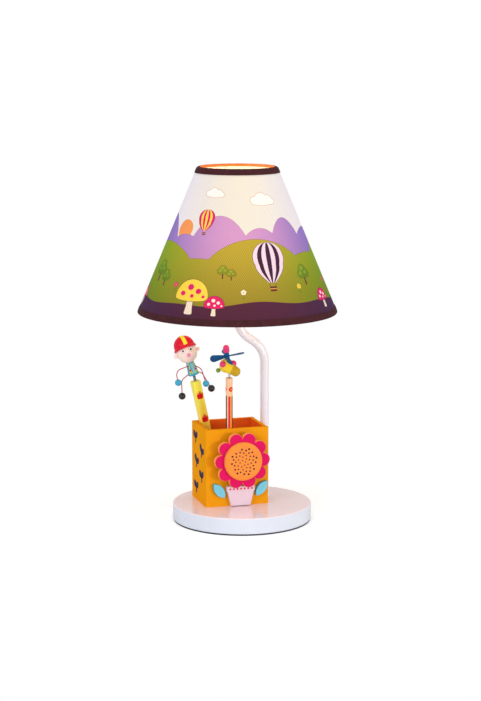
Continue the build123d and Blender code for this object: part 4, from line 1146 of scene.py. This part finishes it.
    def finish(self, cloth: Piece) -> None:
        """Gives the cloth its map, its share of the bulb's painted glow round the front and back, and the
        cone's own normals.
        """
        mesh = cloth.data
        unwrap(cloth, self.cone, 0.5 * (self.cone.bottom_radius + self.cone.top_radius))
        painted_glow = mesh.attributes.new("painted_glow", "FLOAT", "POINT")
        turns = [self.cone.turn_of(v.co) for v in mesh.vertices]
        painted_glow.data.foreach_set("value", [math.cos(t) ** 2 for t in turns])
        mesh.polygons.foreach_set("use_smooth", [True] * len(mesh.polygons))
        lean = self.cone.slope
        normals = [Vector((0, 0, 1))] * len(mesh.loops)
        for face in mesh.polygons:
            for i in face.loop_indices:
                out = self.cone.direction(turns[mesh.loops[i].vertex_index]) * math.cos(lean)
                out.z = math.sin(lean)
                facing = face.normal.dot(out)
                normals[i] = face.normal.copy()
                if abs(facing) > self.rim_limit:
                    normals[i] = out if facing > 0 else -out
        mesh.normals_split_custom_set(normals)


@dataclass
class Shade:
    """The shade: printed cloth, bound edges and the wire frame that carries it."""

    cone: Cone
    edge_bottom: float = 0.2594
    edge_top: float = 0.442
    outer_bottom_radius: float = 0.1261
    fall: float = 75.9 / 182.6
    tape: float = 0.6 * MM
    bottom_tape: float = 8.5 * MM
    top_tape: float = 7.4 * MM
    tape_return: float = 3.6 * MM
    inner_depth: float = 5.05 * MM
    lit_depth: float = 2.2 * MM
    hollow: float = 0.12 * MM
    steps: int = 160

    def wall(self, height: float, depth: float) -> Point:
        """Radius and height of a point that deep under the shade's outermost face."""
        lean = math.atan(self.fall)
        radius = self.outer_bottom_radius - (height - self.edge_bottom) * self.fall
        return radius - depth / math.cos(lean), height

    def section(self, edge: float, side: int) -> Outline:
        """Closed section of the tape, folded round an edge of the shade.

        Args:
            edge: Height of that edge.
            side: 1 where the shade lies above it, -1 where it lies below.

        Returns:
            The section's points, the outside of the fold first.
        """
        near, far = self.tape / 2, self.inner_depth
        bow = (far - near) / 2
        width = self.bottom_tape if side > 0 else self.top_tape
        step = (width - near - bow) / 10
        line = [(width - step * k, near - self.hollow * math.sin(math.pi * k / 10)) for k in range(10)]
        for k in range(13):
            a = math.pi * k / 12
            line.append((near + bow - bow * math.sin(a), near + bow - bow * math.cos(a)))
        line += [(near + bow + (self.tape_return - near - bow) * share, far) for share in (0.35, 0.7, 1.0)]
        outer, inner = [], []
        for i, (up, depth) in enumerate(line):
            before, after = line[max(i - 1, 0)], line[min(i + 1, len(line) - 1)]
            along = Vector((after[0] - before[0], after[1] - before[1])).normalized()
            across = Vector((along.y, -along.x)) * self.tape / 2
            outer.append(self.wall(edge + side * (up + across.x), depth + across.y))
            inner.append(self.wall(edge + side * (up - across.x), depth - across.y))
        return outer + inner[::-1]

    def binding(self, name: str, node: str, edge: float, side: int, materials: Sequence[Material]) -> Piece:
        """One bound edge.

        Args:
            name: The piece's name.
            node: The solid that it stands for.
            edge: Height of the edge.
            side: 1 at the bottom, -1 at the top.
            materials: The tape outside and inside.

        Returns:
            The piece.
        """
        ring = spun(self.section(edge, side), self.cone.centre, self.steps)
        middle = Vector((*self.cone.centre, 0.0))
        for face in ring.data.polygons:
            out = (face.center - middle) * Vector((1, 1, 0))
            inward = face.normal.dot(out.normalized()) < -0.3
            reach = self.wall(face.center.z, self.lit_depth)[0]
            face.material_index = 1 if inward and out.length < reach else 0
        unwrap(ring, self.cone, self.wall(edge, 0.0)[0])
        smooth(ring, 50)
        dress(ring, name, "shade", materials)
        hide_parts(node)
        return ring

    def build(self) -> None:
        """Makes the cloth and its bindings and dresses the frame."""
        cloth = ShadePrint(self.cone).build()
        inks = [Cloth(f"printed_cotton_{ink.name.lower()}", *ink.value).build() for ink in Ink]
        dress(cloth, "shade_cloth", "shade", [*inks, LINING.build()])
        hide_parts("shade_skin")
        tapes = [BINDING.build(), BINDING_INSIDE.build()]
        top = self.binding("shade_top_binding", "shade_top_trim", self.edge_top, -1, tapes)
        bottom = self.binding("shade_bottom_binding", "shade_bottom_trim", self.edge_bottom, 1, tapes)
        repaint({COATED: "shade_frame shade_bottom_ring"})


@dataclass
class Stand:
    """Foot, pole, lampholder and the bulb in it."""

    def build(self) -> None:
        """Dresses the solids."""
        repaint({
            FOOT: "foot_disc", RUBBER: "foot_pad cord_grommet", ENAMEL: "pole pole_collar",
            ZINC: "pole_washer pole_nut box_screws", HOLDER: "holder_cap holder_shell ring_nut",
            CLAY: "holder_core", BRASS: "screw_shell centre_contact", KNOB: "switch_shaft switch_knob",
            BULB_CAP: "bulb_contact bulb_cap", BULB: "bulb_glass",
        })


@dataclass
class PenBox:
    """The open box: lacquered boards, sprouts painted on its sides and the potted flower on its front."""

    left: float = -52.0
    right: float = 29.1
    film: float = 0.12
    centre_face: float = -37.0
    flower: Point = (-8.45, 81.0)

    def sprout_shapes(self) -> list[Outline]:
        """Outlines of one sprout: two leaves and a stem."""
        return [
            oval(-4.6, 3.6, 5.9, 4.3, 145, 32),
            oval(4.7, 2.4, 5.5, 4.1, 35, 32),
            [(-2.1, -7.4), (2.1, -7.4), (1.6, 0.8), (-1.6, 0.9)],
        ]

    def sprouts(self, name: str, board: str, side: int, spots: Sequence[Triple]) -> None:
        """Paints sprouts on a side board.

        Args:
            name: The piece's name.
            board: The board's node.
            side: -1 for the left board, 1 for the right one.
            spots: Place along y, height and lean in degrees of each sprout.
        """
        face = self.left if side < 0 else self.right
        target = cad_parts[board]
        films = []
        for along, height, lean in spots:
            place = axes(((face + side * AHEAD) * MM, along * MM, height * MM), (0, side, 0), (side, 0, 0))
            place = place @ Matrix.Rotation(math.radians(lean), 4, "Z")
            for shape in self.sprout_shapes():
                films.append(lay_on(outline_plate(shape), target, place, 0.0, self.film))
        paint(films, name, "stand", NAVY)

    def seeds(self) -> None:
        """Seeds of the flower: small domes in a spiral."""
        bpy.ops.mesh.primitive_uv_sphere_add(segments=16, ring_count=10, radius=1.05 * MM)
        dome = bpy.context.active_object
        with editing(dome):
            bpy.ops.transform.resize(value=(1.0, 1.0, 0.42))
        settle(dome)
        smooth(dome, 60)
        domes = []
        count, spacing = 46, 2.55
        for number in range(count):
            far = spacing * math.sqrt(number + 0.4)
            turn = math.radians(GOLDEN_ANGLE * number)
            x, z = self.flower[0] + far * math.cos(turn), self.flower[1] + far * math.sin(turn)
            size = 0.72 + 0.011 * number
            place = front_place(x * MM, self.centre_face * MM, z * MM)
            domes.append(copied(dome, place @ Matrix.Scale(size, 4)))
        bpy.data.objects.remove(dome)
        paint(domes, "flower_seeds", "stand", NAVY)

    def veins(self) -> None:
        """A painted rib with its twigs on each leaf, and a row of dots on the pot's rim."""
        shapes = [[(-0.45, -9), (0.45, -9), (0.15, 8.5), (-0.15, 8.5)]]
        low_twig = [(0.0, -3.4), (0.0, -2.4), (3.4, 1.6), (3.7, 1.2)]
        high_twig = [(0.0, 1.4), (0.0, 2.3), (2.6, 5.4), (2.9, 5.0)]
        for twig in (low_twig, high_twig):
            shapes += [twig, [(-x, y) for x, y in twig]]
        ribs, lean = [], 38
        for node, side in (("leaf_left", -1), ("leaf_right", 1)):
            low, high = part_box(node)
            middle = (low + high) / 2
            place = front_place(middle.x, low.y - AHEAD * MM, middle.z)
            place = place @ Matrix.Rotation(math.radians(-side * lean), 4, "Z")
            for shape in shapes:
                ribs.append(lay_on(outline_plate(shape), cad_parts[node], place, 0.0, self.film))
        paint(ribs, "leaf_ribs", "stand", PALE_SEA)
        low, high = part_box("flower_pot")
        dots, pitch, drop = [], 4.7, 3.5
        for number in range(7):
            x = (low.x + high.x) / 2 + (number - 3) * pitch * MM
            place = front_place(x, low.y - AHEAD * MM, high.z - drop * MM)
            dots.append(lay_on(disc_plate(1.25, 2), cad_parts["flower_pot"], place, 0.0, self.film))
        paint(dots, "pot_dots", "stand", PETAL)

    def build(self) -> None:
        """Dresses the boards and makes what is painted on them."""
        repaint({
            BOARD: "box_floor box_front box_back box_left box_right", PETAL: "flower_petals",
            CENTRE: "flower_centre", POT: "flower_pot", LEAF: "leaf_left leaf_right", CEDAR: "flower_dowel",
        })
        spots = [(30, 102, 8), (2, 88, -12), (25, 71, -8), (3, 56, 10), (27, 38, 6)]
        self.sprouts("left_sprouts", "box_left", -1, spots)
        self.sprouts("right_sprouts", "box_right", 1, [(30 - y, z, -lean) for y, z, lean in spots])
        self.seeds()
        self.veins()


@dataclass
class NeckSpring:
    """A wound wire neck between a pen and its topper; on the real lamp it bends."""

    name: str
    node: str
    pen: str
    topper: str
    origin: Triple
    x_axis: Triple
    axis: Triple
    length: float
    turns: int = 5
    coil: float = 1.4
    wire: float = 0.3

    def build(self, material: Material) -> None:
        """Winds the wire and sets it between the pen and its topper.

        Args:
            material: The wire's material.
        """
        bpy.ops.mesh.primitive_circle_add(
            vertices=14, radius=self.wire * MM, location=(self.coil * MM, 0, self.wire * MM),
            rotation=(math.pi / 2, 0, 0),
        )
        spring = bpy.context.active_object
        settle(spring)
        wind = spring.modifiers.new("wind", "SCREW")
        wind.axis = "Z"
        wind.angle = 2 * math.pi
        wind.screw_offset = (self.length - 2 * self.wire) * MM / self.turns
        wind.iterations = self.turns
        wind.steps = wind.render_steps = 32
        wind.use_merge_vertices = False
        apply_all(spring)
        with editing(spring):
            bpy.ops.mesh.fill_holes(sides=0)
        close_up(spring)
        settle(spring, axes(self.origin, self.x_axis, self.axis))
        smooth(spring, 60)
        spring.name = spring.data.name = self.name
        spring.data.materials.append(material)
        along = Vector(self.axis) * self.length * MM
        tuple(self.origin)
        tuple(Vector(self.origin) + along)
        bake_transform(spring)
        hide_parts(self.node)
        count = len(spring.data.polygons)
        LOG.info("%s: %d faces between %s and %s", self.name, count, self.pen, self.topper)


@dataclass
class Pen:
    """What both pens share: a rod on its own axis, paint on it and a wound spring on its top."""

    origin: Triple
    x_axis: Triple
    axis: Triple
    length: float
    neck_length: float
    film: float

    def beside(self, turn: float, down: float, reach: float) -> Matrix:
        """A place beside the rod.

        Args:
            turn: Degrees round the rod, to the right of its front.
            down: Millimetres below its top.
            reach: Millimetres from its axis to its face.

        Returns:
            The place; its z axis points away from the rod.
        """
        along, side, a = Vector(self.axis), Vector(self.x_axis), math.radians(turn)
        out = side * math.sin(a) - along.cross(side) * math.cos(a)
        middle = Vector(self.origin) + along * (self.length - down) * MM
        return axes(middle + out * (reach + AHEAD) * MM, along.cross(out), out)

    def spring(self, name: str, node: str, pen: str, topper: str, **wire) -> None:
        """Makes the spring that stands for a node, between a pen's top and its topper."""
        neck = tuple(Vector(self.origin) + Vector(self.axis) * self.length * MM)
        neck_spring = NeckSpring(
            name, node, pen, topper, neck, self.x_axis, self.axis, self.neck_length, **wire
        )
        neck_spring.build(SPRING.build())


@dataclass
class DollPen(Pen):
    """The square pen with a doll on its spring."""

    origin: Triple = (-0.020018, 0.03, 0.027)
    x_axis: Triple = (0.976672, 0.0, 0.214735)
    axis: Triple = (-0.214735, 0.0, 0.976672)
    length: float = 150.0
    width: float = 10.5
    turn: float = 8.0
    neck_length: float = 8.5
    doll_origin: Triple = (-0.054054, 0.03, 0.181803)
    doll_x: Triple = (0.95424, 0.0, 0.299041)
    doll_axis: Triple = (-0.299041, 0.0, 0.95424)
    head: Triple = (-0.062846, 0.03, 0.209857)
    head_radius: float = 12.9
    face_turn: float = -7.4
    torso_reach: float = 12.0
    film: float = 0.1
    thin_film: float = 0.06

    def flames(self) -> None:
        """Flames painted on the front and back of the barrel."""
        flame = [
            (-3.0, -4.6), (-1.1, -4.2), (0.9, -4.8), (2.8, -4.4), (3.9, -2.6), (4.3, 0.4), (4.1, 3.2),
            (3.7, 3.3), (2.9, 1.0), (2.3, 4.8), (1.6, 4.9), (1.0, 1.2), (0.3, 6.0), (-0.5, 6.0),
            (-1.0, 1.0), (-1.8, 4.3), (-2.5, 4.2), (-3.0, 0.8), (-3.7, 2.6), (-4.2, 2.4), (-4.3, -0.6),
            (-4.0, -3.0),
        ]
        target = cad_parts["doll_pen_barrel"]
        films = []
        for turn in (self.turn, self.turn + 180):
            for down in (18.5, 49.0, 79.5, 110.0):
                place = self.beside(turn, down, self.width / 2)
                films.append(lay_on(outline_plate(flame), target, place, 0.0, self.film))
        paint(films, "pen_flames", "doll_pen", FLAME)

    def on_head(self, x: float, z: float) -> Matrix:
        """A place in front of the face.

        Args:
            x: Millimetres to the right of the face's middle.
            z: Millimetres above the head's middle.

        Returns:
            The place; its z axis points out of the head.
        """
        turn = math.radians(self.face_turn)
        right = Vector(self.doll_x) * math.cos(turn) + Vector((0, -1, 0)) * -math.sin(turn)
        ahead = Vector((0, -1, 0)) * math.cos(turn) + Vector(self.doll_x) * math.sin(turn)
        out = right * x + Vector(self.doll_axis) * z
        out += ahead * math.sqrt(self.head_radius**2 - x * x - z * z)
        return axes(Vector(self.head) + out.normalized() * (self.head_radius + AHEAD) * MM, right, out)

    def face(self) -> None:
        """Eyes, brows and nose, painted on the head."""
        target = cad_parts["doll_head"]
        eyes = ((-4.6, 6.1), (5.3, 5.5))
        for name, radius, rings, right, up, lift, finish in (
            ("doll_eye_rims", 3.1, 4, 0.0, 0.0, 0.0, IRIS),
            ("doll_eye_whites", 2.8, 4, 0.0, 0.0, 0.04, WHITE),
            ("doll_eye_irises", 1.6, 4, -0.1, 0.0, 0.09, IRIS),
            ("doll_eye_pupils", 1.2, 4, 0.2, 0.0, 0.14, BLACK),
            # White dots on the pupils: painted glints.
            ("doll_eye_glints", 0.3, 2, 0.6, 0.5, 0.19, WHITE),
        ):
            films = []
            for x, z in eyes:
                place = self.on_head(x + right, z + up)
                films.append(lay_on(disc_plate(radius, rings), target, place, lift, self.thin_film))
            paint(films, name, "doll", finish)
        brows = []
        for x, z in eyes:
            place = self.on_head(x, z + 3.3) @ Matrix.Rotation(math.radians(94), 4, "Z")
            brows.append(lay_on(strip_plate(0.45, 2.6, 10), target, place, 0.0, self.thin_film))
        paint(brows, "doll_eye_brows", "doll", BROWN)
        nose = [lay_on(disc_plate(2.6), target, self.on_head(0.4, -0.4), 0.0, self.film)]
        paint(nose, "doll_nose", "doll", BLUSH)

    def on_torso(self, x: float, up: float, lean: float) -> Matrix:
        """A place in front of the torso.

        Args:
            x: Millimetres to the right of its axis.
            up: Millimetres above its foot.
            lean: Degrees that a strap there leans to the left.

        Returns:
            The place; its z axis points out of the torso.
        """
        middle = Vector(self.doll_origin) + Vector(self.doll_axis) * up * MM + Vector(self.doll_x) * x * MM
        middle.y -= self.torso_reach * MM
        place = axes(middle, self.doll_x, (0, -1, 0))
        return place @ Matrix.Rotation(math.radians(lean), 4, "Z")

    def braces(self) -> None:
        """A pale shirt front, braces with forked ends and their buttons, painted on the torso."""
        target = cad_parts["doll_torso"]
        tall = 13.6
        panel = strip_plate(4.6, tall, 20)
        for vertex in panel.data.vertices:
            vertex.co.x *= 0.45 + 0.55 * (vertex.co.y / (tall * MM) + 0.5)
        shirt = [lay_on(panel, target, self.on_torso(0.3, 10.0, 0), 0.0, self.film)]
        straps, buttons = [], []
        for side in (-1, 1):
            for x, up, lean, length in ((3.6, 12.4, 0, 9.4), (4.5, 5.0, 16, 6.0), (2.7, 5.2, -21, 5.8)):
                place = self.on_torso(side * x, up, side * lean)
                straps.append(lay_on(strip_plate(1.25, length, 16), target, place, 0.06, self.film))
            place = self.on_torso(side * 3.6, 7.8, 0)
            buttons.append(lay_on(disc_plate(1.15, 3), target, place, 0.16, self.film))
        paint(shirt, "doll_shirt", "doll", PALE_SEA)
        paint(straps, "doll_braces", "doll", LIME)
        paint(buttons, "doll_buttons", "doll", FLAME)

    def build(self) -> None:
        """Dresses the solids and makes what is painted on them."""
        repaint({
            YELLOW: "doll_pen_barrel", PEN_TIP: "doll_pen_point", SKIN: "doll_head doll_ears",
            RED: "doll_helmet", LEMON: "doll_helmet_stripe", SEA: "doll_torso doll_hands",
            WIRE: "doll_arms doll_legs", BLACK: "doll_feet",
        })
        self.flames()
        self.face()
        self.braces()
        self.spring("doll_spring", "doll_neck_spring", "doll_pen", "doll", turns=8, wire=0.42)


@dataclass
class Pencil(Pen):
    """The round pencil with a helicopter on its spring."""

    origin: Triple = (-0.015217, 0.004365, 0.027)
    x_axis: Triple = (0.956305, -0.292372, 0.0)
    axis: Triple = (-0.04069, -0.133092, 0.990268)
    length: float = 158.7
    radius: float = 4.35
    point: float = 19.0
    lead: float = 1.1
    lead_gap: float = 0.06
    top_band: float = 23.0
    ring_drop: float = 14.0
    neck_length: float = 8.0
    film: float = 0.06

    def stripe(self, face: bpy.types.MeshPolygon) -> int:
        """Number of the colour that a face of the barrel has: wood, peach, brown, crimson or orange."""
        height = face.center.z / MM
        if height < self.point - 0.5:
            return 0
        if height > self.length - self.top_band:
            return 1
        turn = math.degrees(math.atan2(face.center.x, -face.center.y))
        turn = (turn + 40) % 180 - 40
        for number, end in ((1, -15), (3, 15), (4, 50)):
            if turn < end:
                return number
        return 2

    def barrel(self) -> Piece:
        """Turns the barrel, sharpens it and paints its stripes."""
        bpy.ops.mesh.primitive_circle_add(vertices=72, radius=self.radius * MM, fill_type="NOTHING")
        barrel = bpy.context.active_object
        with editing(barrel):
            bpy.ops.transform.translate(value=(0, 0, self.point * MM))
            stripes = self.length - self.point - self.top_band
            for up, scale in ((stripes, 1.0), (self.top_band - 0.5, 1.0), (0.35, 0.962), (0.15, 0.915)):
                draw_up(up, scale)
            bpy.ops.mesh.edge_face_add()
        for part in (*barrel.data.edges, *barrel.data.polygons):
            part.select = False
        for vertex in barrel.data.vertices:
            vertex.select = abs(vertex.co.z - self.point * MM) < 1e-7
        with editing(barrel, "VERT", False):
            draw_up(-self.cone_drop(), (self.lead + self.lead_gap) / self.radius)
        close_up(barrel)
        for face in barrel.data.polygons:
            face.material_index = self.stripe(face)
        settle(barrel, axes(self.origin, self.x_axis, self.axis))
        return smooth(barrel, 40)

    def cone_drop(self) -> float:
        """Length of the sharpened wood, from the painted edge to where the lead comes out."""
        return self.point * (1 - self.lead / self.radius)

    def rings(self, barrel: Piece) -> None:
        """Red rings with orange hearts, painted round the peach end."""
        rims, hearts = [], []
        for turn in (33.0, 153.0, 273.0):
            place = self.beside(turn, self.ring_drop, self.radius)
            rims.append(lay_on(disc_plate(2.75, 6, 1.15), barrel, place, 0.0, self.film))
            hearts.append(lay_on(disc_plate(1.25, 4, 1.15), barrel, place, 0.05, self.film))
        paint(rims, "pencil_rings", "pencil", FLAME)
        paint(hearts, "pencil_ring_hearts", "pencil", ORANGE)

    def build(self) -> None:
        """Makes the barrel and dresses the solids."""
        barrel = self.barrel()
        colours = [finish.build() for finish in (CEDAR, PEACH, BROWN, CRIMSON, ORANGE)]
        self.rings(barrel)
        dress(barrel, "pencil_wood", "pencil", colours)
        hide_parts("pencil_barrel")
        repaint({
            GRAPHITE: "pencil_lead", HULL: "helicopter_hull", PINK: "helicopter_buttons rotor_cap",
            CEDAR: "helicopter_tail_peg", BUD: "helicopter_tail_ball", PADDLE: "rotor_blades",
            ZINC: "rotor_pin",
        })
        self.spring("helicopter_spring", "helicopter_neck_spring", "pencil", "helicopter")


@dataclass
class Studio:
    """Camera, pale floor and soft light."""

    azimuth: float = -16.97
    elevation: float = 9.72
    distance: float = 2.34557
    lens: float = 96.72
    target_height: float = 0.21456
    target_shift: float = -0.00181
    aim_height: float = 0.2
    ambient: float = 0.7
    floor_lift: float = 0.36
    floor_near: float = 0.16
    floor_far: float = 0.42

    def camera(self) -> None:
        """Puts the camera where the photograph was taken from."""
        a, e = math.radians(self.azimuth), math.radians(self.elevation)
        back = Vector((math.sin(a) * math.cos(e), -math.cos(a) * math.cos(e), math.sin(e)))
        right = Vector((math.cos(a), math.sin(a), 0.0))
        target = Vector((0.0, 0.0, self.target_height)) + right * self.target_shift
        lens = bpy.data.cameras.new("camera")
        lens.lens = self.lens
        lens.sensor_width = 36.0
        lens.sensor_fit = "AUTO"
        lens.clip_start, lens.clip_end = 0.05, 100.0
        camera = bpy.data.objects.new("camera", lens)
        camera.location = target + back * self.distance
        camera.rotation_mode = "QUATERNION"
        camera.rotation_quaternion = (-back).to_track_quat("-Z", "Y")
        bpy.context.scene.collection.objects.link(camera)
        bpy.context.scene.camera = camera

    def area(self, name: str, place: Sequence[float], power: float, size: float, colour: str) -> None:
        """A square soft light that faces the lamp.

        Args:
            name: Its name.
            place: Where it hangs.
            power: Its power in watts.
            size: Its side in metres.
            colour: Its colour.
        """
        lamp = bpy.data.lights.new(name, "AREA")
        lamp.energy = power
        lamp.size = size
        lamp.color = linear(colour)[:3]
        holder = bpy.data.objects.new(name, lamp)
        holder.location = place
        holder.rotation_mode = "QUATERNION"
        towards = Vector((0, 0, self.aim_height)) - Vector(place)
        holder.rotation_quaternion = towards.to_track_quat("-Z", "Y")
        bpy.context.scene.collection.objects.link(holder)

    def world(self) -> None:
        """A plain white surround: full white to look at, softer as light."""
        world = bpy.data.worlds.new("studio")
        bpy.context.scene.world = world
        nodes = Nodes(world)
        strength = nodes.scale(nodes.seen(), to_min=self.ambient)
        sky = nodes.add("ShaderNodeBackground", {"Color": DAYLIGHT, "Strength": strength})
        nodes.add("ShaderNodeOutputWorld", {"Surface": sky.outputs[0]})

    def floor(self) -> None:
        """A pale floor that keeps the lamp's shadow."""
        bpy.ops.mesh.primitive_plane_add(size=60.0, location=(0, 0, -0.0002))
        floor = bpy.context.active_object
        floor.name = "floor"
        material = bpy.data.materials.new("pale_floor")
        nodes = Nodes(material)
        shown = nodes.seen()
        paper = nodes.add("ShaderNodeBsdfDiffuse", {"Color": (0.8, 0.8, 0.8, 1)})
        strength = nodes.math("MULTIPLY", shown, self.floor_lift)
        lift = nodes.add("ShaderNodeEmission", {"Color": DAYLIGHT, "Strength": strength})
        near = nodes.add("ShaderNodeAddShader", {0: paper.outputs[0], 1: lift.outputs[0]})
        place = nodes.add("ShaderNodeTexCoord").outputs["Object"]
        away = nodes.add("ShaderNodeVectorMath", {0: place}, operation="LENGTH").outputs["Value"]
        far = nodes.scale(away, from_min=self.floor_near, from_max=self.floor_far)
        white = nodes.add("ShaderNodeEmission", {"Color": DAYLIGHT, "Strength": 1.0})
        inputs = {0: nodes.math("MULTIPLY", shown, far), 1: near.outputs[0], 2: white.outputs[0]}
        both = nodes.add("ShaderNodeMixShader", inputs)
        nodes.add("ShaderNodeOutputMaterial", {"Surface": both.outputs[0]})
        floor.data.materials.append(material)

    def build(self) -> None:
        """Sets up the studio."""
        bpy.context.scene.view_settings.view_transform = "Standard"
        self.camera()
        self.world()
        self.floor()
        self.area("key", (1.15, -1.75, 0.16), 12.4, 0.35, "FFFAF4")
        self.area("fill", (-1.7, -1.3, 0.9), 14.0, 1.2, "F2F5FF")
        self.area("top", (0.0, -0.3, 2.0), 7.0, 1.4, "FFFFFF")


def main() -> None:
    """Builds the studio and the lamp, one sub-assembly after another."""
    logging.basicConfig(level=logging.INFO, format="%(name)s %(message)s")
    Studio().build()
    Shade(Cone()).build()
    Stand().build()
    PenBox().build()
    DollPen().build()
    Pencil().build()


if __name__ == "__main__":
    main()
